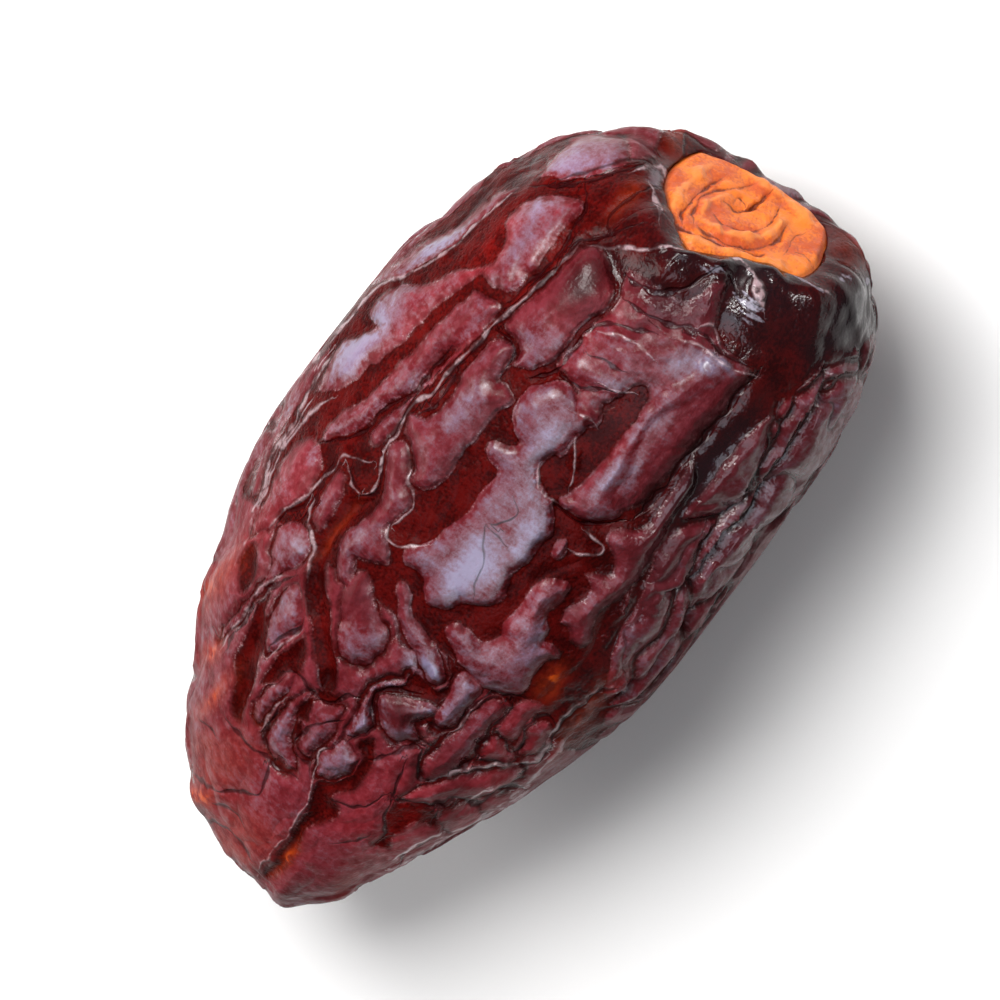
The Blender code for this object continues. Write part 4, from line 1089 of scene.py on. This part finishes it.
def dress_skin(tree):
    tree.nodes.clear()
    tones = {name: colour(code) for name, code in SKIN_TONES.items()}
    place, attribute, speckle = helpers(tree)
    wide, broad, middle = speckle(6.0), speckle(1.6, 3.0), speckle(0.5)
    fine, dust = speckle(0.2), speckle(0.09)
    rest = node(tree, "ShaderNodeAttribute", {"attribute_name": "rest_place"}, {}, out=1)
    front, painted_shade, dark = attribute("front"), attribute("painted_shade"), attribute("dark").clamped()

    def line(name, softness, slim=1.0):
        """One along the drawn lines of a name, and zero beside them."""
        side = attribute(name + "_side")
        gap = attribute(name + "_width") * slim - side.size() + fine * 0.03
        near = 1.0 - step_between(tree, attribute(name + "_away"), 0.3, 0.4)
        return step_between(tree, gap, -softness, softness) * near

    # How far inside a fold's top each place is, in millimetres, drawn in front and by the net behind.
    islands = attribute("inside")
    ground = attribute("ground").least(-islands - (GROUND_GAP + (wide + broad) * 1.2))
    drawn_inside = islands.most(ground).least(-attribute("hollow"))
    net_inside = (net_texture(tree, rest, NET_NUMBERS) / attribute("net_slope") - CREASE_WIDTH).least(1.0)
    within = net_inside + (drawn_inside - net_inside) * front
    ragged = within + middle * 0.1 + fine * 0.06
    top = step_between(tree, ragged, -0.04, 0.06)

    # The rim of each top, where a pale highlight is painted, the crack beside it, where shade is painted,
    # and the drawn and the finer lines.
    rim = top * (1.0 - step_between(tree, ragged, 0.04, 0.2))
    rim = rim * step_between(tree, broad + middle * 0.7, -0.08, 0.2)
    crack = (1.0 - top) * step_between(tree, ragged, -0.28, -0.1)
    crack = crack * step_between(tree, wide + broad * 1.5, -0.12, 0.16, 0.1, 1.0)
    crack = crack * ((1.0 - front) * 0.4 + attribute("narrow") * front * 0.65)
    crease = line("crease", 0.06)
    crest = line("crest", 0.07, 0.9) * step_between(tree, broad + middle, -0.16, 0.1, 0.15, 1.0)
    fold_gap = fold_texture(tree, rest, NET_NUMBERS).size() / attribute("fold_slope") + fine * 0.06
    fold = (1.0 - step_between(tree, fold_gap, 0.02, 0.13)) * attribute("fold_lines")
    fold = fold * step_between(tree, wide + broad, -0.1, 0.15, 0.1, 1.0)

    # The film of bloom, with its painted sheen, is thicker inside the tops, patchy and streaked, and painted
    # shade thins it.
    film_and_sheen = attribute("bloom_and_sheen") * step_between(tree, within + middle * 0.8, 0.0, 0.5, 0.4, 1.0)
    streaks = noise_texture(tree, vector(tree, "MULTIPLY", place, STREAK_STRETCH), STREAK_SCALE, 2.0)
    film_and_sheen = film_and_sheen + wide * 0.4 + broad * 0.6 + middle * 0.5 + fine * 0.4 + dust * 0.3
    film_and_sheen = (film_and_sheen + streaks * 0.6 - 0.08 - painted_shade).clamped()

    # The colours, from the flesh up to the bloom and its painted sheen, then painted light and shade, the
    # lines with painted shade and highlights, the painted glow and the painted sparkles.
    patches = step_between(tree, broad + fine * 0.6, -0.2, 0.2)
    red = mix(tree, patches, tones["flesh"], tones["bright flesh"])
    mauve = mix(tree, step_between(tree, broad + middle, -0.3, 0.3), tones["dark mauve"], tones["mauve"])
    # Painted sheen: the films turn the mauve grey and bluish where a lamp would reflect.
    mauve = mix(tree, step_between(tree, film_and_sheen, 0.1, 0.55), mauve, tones["thin film"])
    mauve = mix(tree, step_between(tree, film_and_sheen, 0.4, 1.0), mauve, tones["thick film"])
    covered = step_between(tree, ragged, 0.0, 0.4) + (attribute("bloom_and_sheen") * 1.6).clamped()
    covered = top * covered.clamped()
    tone = mix(tree, covered, red, mauve)
    # Painted light: the colour is brightened by the painted light spots.
    painted_light_added = vector(tree, "MULTIPLY", scaled(tree, tone, attribute("painted_light")), PAINTED_LIGHT_TINT)
    tone = vector(tree, "ADD", tone, painted_light_added)
    # Painted shade: the colour is darkened where shade falls.
    tone = mix(tree, painted_shade.clamped() * 0.85, tone, tones["painted_shade"])
    # Painted shade: the cracks, creases and fold lines are darkened where shade falls in them.
    tone = mix(tree, (crack * 0.65).most(crease * 0.75).most(fold * 0.6), tone, tones["crack"])
    # Painted highlight: the pale rim on the edge of each top.
    tone = mix(tree, rim * step_between(tree, fine + dust, -0.1, 0.2) * 0.22, tone, tones["rim"])
    # Painted highlight on the crests, brighter under painted light.
    flushed_crest = step_between(tree, attribute("painted_light"), 0.6, 1.4)
    crest_highlight_tone = mix(tree, flushed_crest, tones["crest"], tones["bright crest highlight"])
    crest_highlight_share = 0.45 + dark.most(attribute("painted_light") - 0.6).clamped() * 0.4
    tone = mix(tree, crest * crest_highlight_share, tone, crest_highlight_tone)
    # Painted sparkles of light on the rims and crests.
    painted_sparkles = rim.most(crest) * step_between(tree, dust + fine * 0.5, 0.14, 0.2)
    # Painted glow: orange where light shines through the thin skin.
    painted_glow = attribute("painted_glow") * step_between(tree, broad + middle, -0.25, 0.1, 0.45, 1.0)
    painted_glow_tone = mix(tree, step_between(tree, painted_glow, 0.5, 1.0), tones["ember"], tones["orange"])
    tone = mix(tree, painted_glow * (1.0 - crease * 0.7), tone, painted_glow_tone)
    tone = mix(tree, painted_sparkles * 0.22, tone, tones["grain"])

    # The bump, in millimetres, and two skins that share it: bloomy and wet.
    edge = step_between(tree, ragged, -0.12, 0.28)
    shoulder = 1.0 - step_between(tree, (ragged - 0.12).size(), 0.08, 0.3)
    shine = shoulder.most(crest) * step_between(tree, wide + broad + middle * 0.5, 0.02, 0.22) * 0.7
    pillow = step_between(tree, within + broad * 0.2, 0.0, 1.0)
    folds = pillow * 0.28 + edge * 0.16 + crest * 0.06 - crease * 0.08 - fold * 0.05
    relief = folds + rim * 0.02 + broad * 0.16 + middle * 0.06 + fine * 0.03 + dust * 0.015
    pleats = noise_texture(tree, vector(tree, "MULTIPLY", place, PLEAT_STRETCH), PLEAT_SCALE, 1.0)
    wet_relief = folds * 0.7 + pleats * 1.3 + middle * 0.03 + fine * 0.02
    height = relief + (wet_relief - relief) * dark
    bump = node(tree, "ShaderNodeBump", {}, {"Strength": 1.0, "Distance": MILLIMETRE, "Height": height})
    flesh = {"Subsurface Weight": 0.05, "Subsurface Radius": (1.0, 0.2, 0.1), "Subsurface Scale": 0.0006}
    coat = (top * (film_and_sheen * 0.75 + 0.1) + rim.most(crest) * 0.4).clamped()
    bloomy = node(tree, "ShaderNodeBsdfPrincipled", {}, {
        "Base Color": tone, "Roughness": 0.3 + top * 0.15 + fine * 0.2, "Normal": bump,
        "Specular IOR Level": 0.02, "Coat Weight": coat, "Coat Roughness": 0.24, **flesh,
    })
    # The nearly black wet colour is partly the skin's own and partly painted shade.
    deep = dark * (1.0 - (top * 0.3).most(film_and_sheen * 0.7).most(crest * 0.85))
    # Painted white glints on the wet skin.
    glint = attribute("glare") + pleats + streaks * 1.2 + fine * 0.3
    glare = dark * step_between(tree, glint, 0.42, 0.6)
    wet_tone_with_glints = mix(tree, glare * 0.75, mix(tree, deep, tone, tones["wet"]), tones["glint"])
    wet = node(tree, "ShaderNodeBsdfPrincipled", {}, {
        "Base Color": wet_tone_with_glints, "Roughness": 0.14 + middle * 0.1, "Normal": bump,
        "Specular IOR Level": 0.3, "Coat Weight": film_and_sheen * dark, "Coat Roughness": 0.22, **flesh,
    })
    shader = node(tree, "ShaderNodeMixShader", {}, {0: dark.most(shine), 1: bloomy, 2: wet})
    end = tree.nodes.new("ShaderNodeOutputMaterial")
    tree.links.new(shader.socket, end.inputs["Surface"])


dress_skin(skin.node_tree)

# %% [markdown]
# ## Raising the skin
#
# The fields go onto the smooth fruit as attributes, and the tree raises the folds from them.
# They fade out at the seat, at the flat spot underneath and at the camera's horizon.

# %% Fields on the smooth fruit
FRONT_EDGE = (0.08, 0.3)
LIMIT_EDGE = (-0.6, 0.6)
DRAWN_FACING = (0.05, 0.45)
SEAT_FADE = (0.1, 1.6)
FLOOR_FADE = (0.3, 2.2)
HORIZON_REACH = 0.3
HORIZON_SHARE = 0.6
TIP_PLACE = (-11.0, -8.0)
TIP_BLOOM = 0.8
PLATE_BLOOM = 0.5
SPOT_BLOOM_AND_SHEEN = 0.9
SPOTS_BEHIND = -0.2
DARK_FACING = (-0.5, 0.0)
DARK_BY_CAP = 0.6
DARK_REACH = 1.2
PLATE_PLACE = (-12.0, -8.0)
PLATE_QUIET = 0.85
VALLEY_QUIET = 0.7
TIP_QUIET = 0.75
TRIM_FACING = (-0.6, -0.1)
LINE_FACING = 0.1
NO_LINE = -0.2

front = fade(FRONT_EDGE, facing) * fade(LIMIT_EDGE, depth_inside(u, v, DRAWN_LIMIT))
drawn = (top_height + crest_height - np.maximum(valley_depth, crease_depth)) * fade(DRAWN_FACING, facing)
fold_share = fade(SEAT_FADE, outward) * fade(FLOOR_FADE, smooth_points[:, 2])
fold_share *= 1.0 - HORIZON_SHARE * np.exp(-((facing / HORIZON_REACH) ** 2))
bloom_share = TIP_BLOOM - (TIP_BLOOM - PLATE_BLOOM) * fade(TIP_PLACE, u)
# The spots add a painted sheen to the bloom.
bloom_and_sheen = np.maximum(bloom_share * bloom_and_sheen, SPOT_BLOOM_AND_SHEEN * spots_at(u, v, BLOOM_AND_SHEEN_SPOTS))
shown = facing > SPOTS_BEHIND
painted_glow, painted_light = spots_at(u, v, PAINTED_GLOW_SPOTS) * shown, spots_at(u, v, PAINTED_LIGHT_SPOTS) * shown
painted_shade, glare = spots_at(u, v, PAINTED_SHADE_SPOTS) * shown, spots_at(u, v, PAINTED_GLINT_SPOTS) * shown
dark = spots_at(u, v, DARK_SKIN_AND_SHADE_SPOTS) * fade(DARK_FACING, facing)
dark = np.maximum(dark, DARK_BY_CAP * np.exp(-np.maximum(outward, 0.0) / DARK_REACH))
on_plate = front * fade(PLATE_PLACE, u)
quiet = np.where(inside > 0.0, PLATE_QUIET, VALLEY_QUIET)
fold_lines = 1.0 - on_plate * quiet - TIP_QUIET * front * (1.0 - on_plate)

fruit_mesh = bpy.data.meshes.new("date_skin")
for face in fruit_shape.faces:
    face.smooth = True
fruit_shape.to_mesh(fruit_mesh)
fruit_shape.free()
seen = facing > LINE_FACING
trim = spots_at(u, v, TRIM_SPOTS, np.add) * fade(TRIM_FACING, facing)
fields = (("drawn", drawn), ("inside", np.clip(inside, -1.0, 1.0)),
          ("ground", np.clip(GROUND_EDGE - u, -1.0, 1.0)), ("hollow", np.clip(hollow, -1.0, 1.0)),
          ("narrow", narrow), ("front", front), ("fold_share", fold_share), ("bloom_and_sheen", bloom_and_sheen),
          ("fold_lines", fold_lines), ("trim", trim), ("painted_glow", painted_glow), ("dark", dark),
          ("painted_light", painted_light), ("painted_shade", painted_shade), ("glare", glare),
          ("crease_side", crease_side), ("crease_away", np.abs(crease_side)),
          ("crease_width", np.where(seen, crease_width, NO_LINE)),
          ("crest_side", crest_side), ("crest_away", np.abs(crest_side)),
          ("crest_width", np.where(seen, crest_width, NO_LINE)))
for name, amounts in fields:
    made = fruit_mesh.attributes.new(name, "FLOAT", "POINT")
    made.data.foreach_set("value", amounts.astype(np.float32))

# %% Run the tree
smooth_object = bpy.data.objects.new("smooth_fruit", fruit_mesh)
bpy.context.scene.collection.objects.link(smooth_object)
relief = smooth_object.modifiers.new("relief", "NODES")
relief.node_group = relief_tree()
for item in relief.node_group.interface.items_tree:
    if item.item_type == "SOCKET" and item.in_out == "INPUT" and item.name == "Material":
        relief[item.identifier] = skin
    elif item.item_type == "SOCKET" and item.in_out == "INPUT" and item.name in RELIEF_NUMBERS:
        relief[item.identifier] = RELIEF_NUMBERS[item.name]
depsgraph = bpy.context.evaluated_depsgraph_get()
skin_mesh = bpy.data.meshes.new_from_object(smooth_object.evaluated_get(depsgraph), depsgraph=depsgraph)
smooth_object.modifiers.clear()
bpy.data.objects.remove(smooth_object)

# %% Close the skin round the cap, flatten it underneath and hold it in the solids' box
FLAT_SOFTNESS = 0.25
HOLD = 0.6

flat_list = np.empty(len(skin_mesh.vertices) * 3, np.float32)
skin_mesh.vertices.foreach_get("co", flat_list)
folded, seat_plane = seated(flat_list.reshape(-1, 3).astype(float))
low = folded[:, 2]
pressed = np.where(low < FLAT_SOFTNESS, (low + FLAT_SOFTNESS) ** 2 / (4.0 * FLAT_SOFTNESS), low)
folded[:, 2] = np.where(low < -FLAT_SOFTNESS, 0.0, pressed)
placed = folded + BOX_SHIFT
for axis in range(3):
    low_side, high_side = (corner[axis] / MILLIMETRE for corner in solid_box)
    over = placed[:, axis] - high_side + HOLD
    eased = high_side - HOLD + HOLD * np.tanh(over / HOLD)
    placed[:, axis] = np.where(over > 0.0, eased, placed[:, axis])
    if axis < 2:
        under = low_side + HOLD - placed[:, axis]
        eased = low_side + HOLD - HOLD * np.tanh(under / HOLD)
        placed[:, axis] = np.where(under > 0.0, eased, placed[:, axis])
placed *= MILLIMETRE
skin_mesh.vertices.foreach_set("co", placed.ravel().astype(np.float32))
skin_mesh.update()
skin_object = bpy.data.objects.new("fruit_skin", skin_mesh)
skin_mesh.name = "fruit_skin"
bpy.context.scene.collection.objects.link(skin_object)
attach(skin_object, "root")
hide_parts("date_fruit")
print("skin:", len(skin_mesh.polygons), "faces, from", placed.min(axis=0), "to", placed.max(axis=0))

# %% [markdown]
# ## The dry cap
#
# The cap is what is left of the flower's calyx: a thin woody disc, dried into a curl of
# rings round the place where the stem broke off. The rings are drawn on the same plane as
# the folds, as ridges and as grooves between them that are darkened with painted shade.

# %% Cap
CAP_SEGMENTS = 280
CAP_RINGS = 150
CAP_THICKNESS = 0.75
CAP_EDGE = 0.5
# The cap's middle on the drawing, and what a millimetre along each of its two axes is there.
CAP_PLACE = (21.2, 1.0)
CAP_A = (-0.152, 0.987)
CAP_B = (-0.575, -0.043)
# Each: half width, depth or height, then the line as a row of places in tenths of a millimetre.
CAP_CREASES = (
    (0.11, 0.3, (184, 44, 185, 34, 187, 24, 189, 15, 192, 5, 197.5, -7, 203, -14)),
    (0.08, 0.2, (191, 28, 190.5, 20, 192.5, 11, 197.5, -1, 206, -11, 215, -15, 225, -14)),
    (0.08, 0.2, (185, 35, 192, 40, 200, 39, 208, 39, 218, 36, 227, 32)),
    (0.07, 0.15, (191, 30, 195, 34, 202.5, 36, 210, 35, 216, 31, 221, 25, 228, 21, 233, 15)),
    (0.11, 0.4, (212, 25, 213.5, 17, 217.5, 11, 222.5, 7.5, 230, 6, 236, 5)),
    (0.07, 0.2, (215, 20, 220, 20, 221, 15, 218, 12)),
    (0.06, 0.15, (203, 27, 201, 17, 204, 7, 212, -2, 222, -5, 231, -3)),
    (0.05, 0.1, (208, -24, 218, -21, 228, -23)),
    (0.05, 0.1, (215, -39, 216, -32, 214, -27)),
)
CAP_CRESTS = (
    (0.2, 0.2, (180, 32, 182, 22, 187, 10, 193, -2, 199, -16, 204, -30)),
    (0.2, 0.22, (196, 27, 196, 17, 200, 6, 208, -5, 218, -10, 228, -10)),
    (0.2, 0.2, (196, 30, 203, 32, 210, 30, 217, 25)),
    (0.22, 0.2, (235, 22, 235, 8, 236, -6, 234, -18, 234, -30)),
    (0.14, 0.12, (212, -29, 211, -38)),
    (0.25, 0.15, (190, 45, 202, 48, 214, 47, 226, 42)),
)
# The stem's pit: place along and across, reach along and across, depth.
CAP_PIT = (21.7, 1.6, 0.7, 0.6, 0.25)
CAP_CREASE_REACH = 0.17
CAP_CREASE_SHARE = 0.8
CAP_CREST_REACH = 0.32
CAP_CREST_SHARE = 1.4
# Each: size of the noise, how far it moves a place, and its shift.
CAP_WOBBLES = ((1.8, 0.25, 5.0), (0.6, 0.1, 9.0))
# Each: size of the noise, and its share.
CAP_WRINKLES = ((1.4, 1.0), (0.5, 0.4))
CAP_WRINKLE_HEIGHT = 0.12
CAP_EDGE_REACH = 0.1

cap_shape = bmesh.new()
bmesh.ops.create_uvsphere(cap_shape, u_segments=CAP_SEGMENTS, v_segments=CAP_RINGS, radius=1.0)
ball = np.array([tuple(vert.co) for vert in cap_shape.verts])
polar = np.arccos(np.clip(ball[:, 2], -1.0, 1.0))
cap_angle = np.arctan2(ball[:, 1], ball[:, 0])
upper = polar <= math.pi / 2.0 + TINY
share = np.where(upper, np.minimum(1.0, polar / (math.pi / 2.0)), (math.pi - polar) / (math.pi / 2.0))
reach = cap_radius(cap_angle) * share
cap_a, cap_b = reach * np.cos(cap_angle), reach * np.sin(cap_angle)
cap_flat = np.stack((cap_a, cap_b, np.zeros(len(reach))), axis=1)
for size, amount, shift in CAP_WOBBLES:
    cap_flat = wobble(cap_flat, size, amount, shift)
cap_u = CAP_PLACE[0] + CAP_A[0] * cap_flat[:, 0] + CAP_B[0] * cap_flat[:, 1]
cap_v = CAP_PLACE[1] + CAP_A[1] * cap_flat[:, 0] + CAP_B[1] * cap_flat[:, 1]
cap_side, cap_width, cap_depth = line_fields(cap_u, cap_v, CAP_CREASES)
cap_crease = cap_width - np.abs(cap_side)
cap_relief = -CAP_CREASE_SHARE * cap_depth * np.exp(-((cap_side / CAP_CREASE_REACH) ** 2))
cap_side, cap_width, cap_height = line_fields(cap_u, cap_v, CAP_CRESTS)
cap_crest = cap_width - np.abs(cap_side)
cap_relief = cap_relief + CAP_CREST_SHARE * cap_height * np.exp(-((cap_side / CAP_CREST_REACH) ** 2))
wrinkle = np.array([sum(amount * noise.noise(Vector(point) / size) for size, amount in CAP_WRINKLES)
                    for point in cap_flat])
pit = spots_at(cap_u, cap_v, (CAP_PIT,))
relief_height = CAP_THICKNESS + CAP_WRINKLE_HEIGHT * wrinkle + cap_relief - pit
relief_height = CAP_EDGE + (relief_height - CAP_EDGE) * smooth(0.0, CAP_EDGE_REACH, 1.0 - share)
cap_height = np.where(upper, relief_height, 0.0)
cap_points = (seat_centre + np.outer(cap_a, seat_side) + np.outer(cap_b, seat_up)
              + np.outer(seat_plane - SEAT_DEPTH + SEAT_GAP + cap_height, seat_normal))
for vert, point in zip(cap_shape.verts, (cap_points + BOX_SHIFT) * MILLIMETRE):
    vert.co = Vector(point)
for face in cap_shape.faces:
    face.smooth = True
cap_mesh = bpy.data.meshes.new("dry_cap")
cap_shape.to_mesh(cap_mesh)
cap_shape.free()
cap_fields = (("crease", cap_crease), ("crest", cap_crest), ("share", share), ("pit", pit / CAP_PIT[4]))
for name, amounts in cap_fields:
    made = cap_mesh.attributes.new(name, "FLOAT", "POINT")
    made.data.foreach_set("value", amounts.astype(np.float32))
cap_object = bpy.data.objects.new("dry_cap", cap_mesh)
bpy.context.scene.collection.objects.link(cap_object)

# %% [markdown]
# ## The cap's and the floor's materials
#
# The dry cap is orange, patchy and matt. Its creases are darkened with painted shade, as are the
# places round them and the stem's pit; its edge is brown, and its crests are paler.

# %% Cap's material
CAP_TONES = {
    "dark orange": "b8480e", "orange": "e07416", "crest": "e08038", "shade": "c04a12", "crease": "5e1a06",
    "edge": "8c3410",
}


def dress_cap(tree):
    tree.nodes.clear()
    tones = {name: colour(code) for name, code in CAP_TONES.items()}
    _, attribute, speckle = helpers(tree)
    broad, middle, fine = speckle(2.2, 3.0), speckle(0.6), speckle(0.2)
    crease = step_between(tree, attribute("crease") + fine * 0.2, -0.05, 0.06)
    shade = step_between(tree, attribute("crease") + middle * 0.3, -0.35, 0.05)
    crest = step_between(tree, attribute("crest") + middle * 0.4, -0.12, 0.1)
    edge = step_between(tree, attribute("share") + fine * 0.05, 0.93, 0.99)
    patches = step_between(tree, broad + fine * 0.5, -0.14, 0.14)
    tone = mix(tree, patches, tones["dark orange"], tones["orange"])
    tone = mix(tree, crest * 0.8, tone, tones["crest"])
    # Painted shade round the creases and in the stem's pit.
    tone = mix(tree, (shade * 0.35).most(attribute("pit") * 0.4), tone, tones["shade"])
    # Painted shade in the creases.
    tone = mix(tree, crease * 0.9, tone, tones["crease"])
    tone = mix(tree, edge * 0.6, tone, tones["edge"])
    relief = middle * 0.1 + fine * 0.05 - crease * 0.05
    bump = node(tree, "ShaderNodeBump", {}, {"Strength": 1.0, "Distance": MILLIMETRE, "Height": relief})
    shader = node(tree, "ShaderNodeBsdfPrincipled", {}, {
        "Base Color": tone, "Roughness": 0.5 + fine * 0.4, "Normal": bump, "Subsurface Weight": 0.1,
        "Subsurface Radius": (1.0, 0.4, 0.1), "Subsurface Scale": 0.0006, "Specular IOR Level": 0.4,
    })
    end = tree.nodes.new("ShaderNodeOutputMaterial")
    tree.links.new(shader.socket, end.inputs["Surface"])


cap_look = bpy.data.materials.new("dry_cap")
cap_look.use_nodes = True
dress_cap(cap_look.node_tree)
cap_mesh.materials.append(cap_look)
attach(cap_object, "root")
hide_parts("calyx_cap")

# %% Floor's material
FLOOR_ROUGHNESS = 0.6
floor_look = bpy.data.materials.new("floor")
floor_look.use_nodes = True
floor_look.node_tree.nodes["Principled BSDF"].inputs["Base Color"].default_value = (*FLOOR_COLOUR, 1.0)
floor_look.node_tree.nodes["Principled BSDF"].inputs["Roughness"].default_value = FLOOR_ROUGHNESS
floor_mesh.materials.append(floor_look)
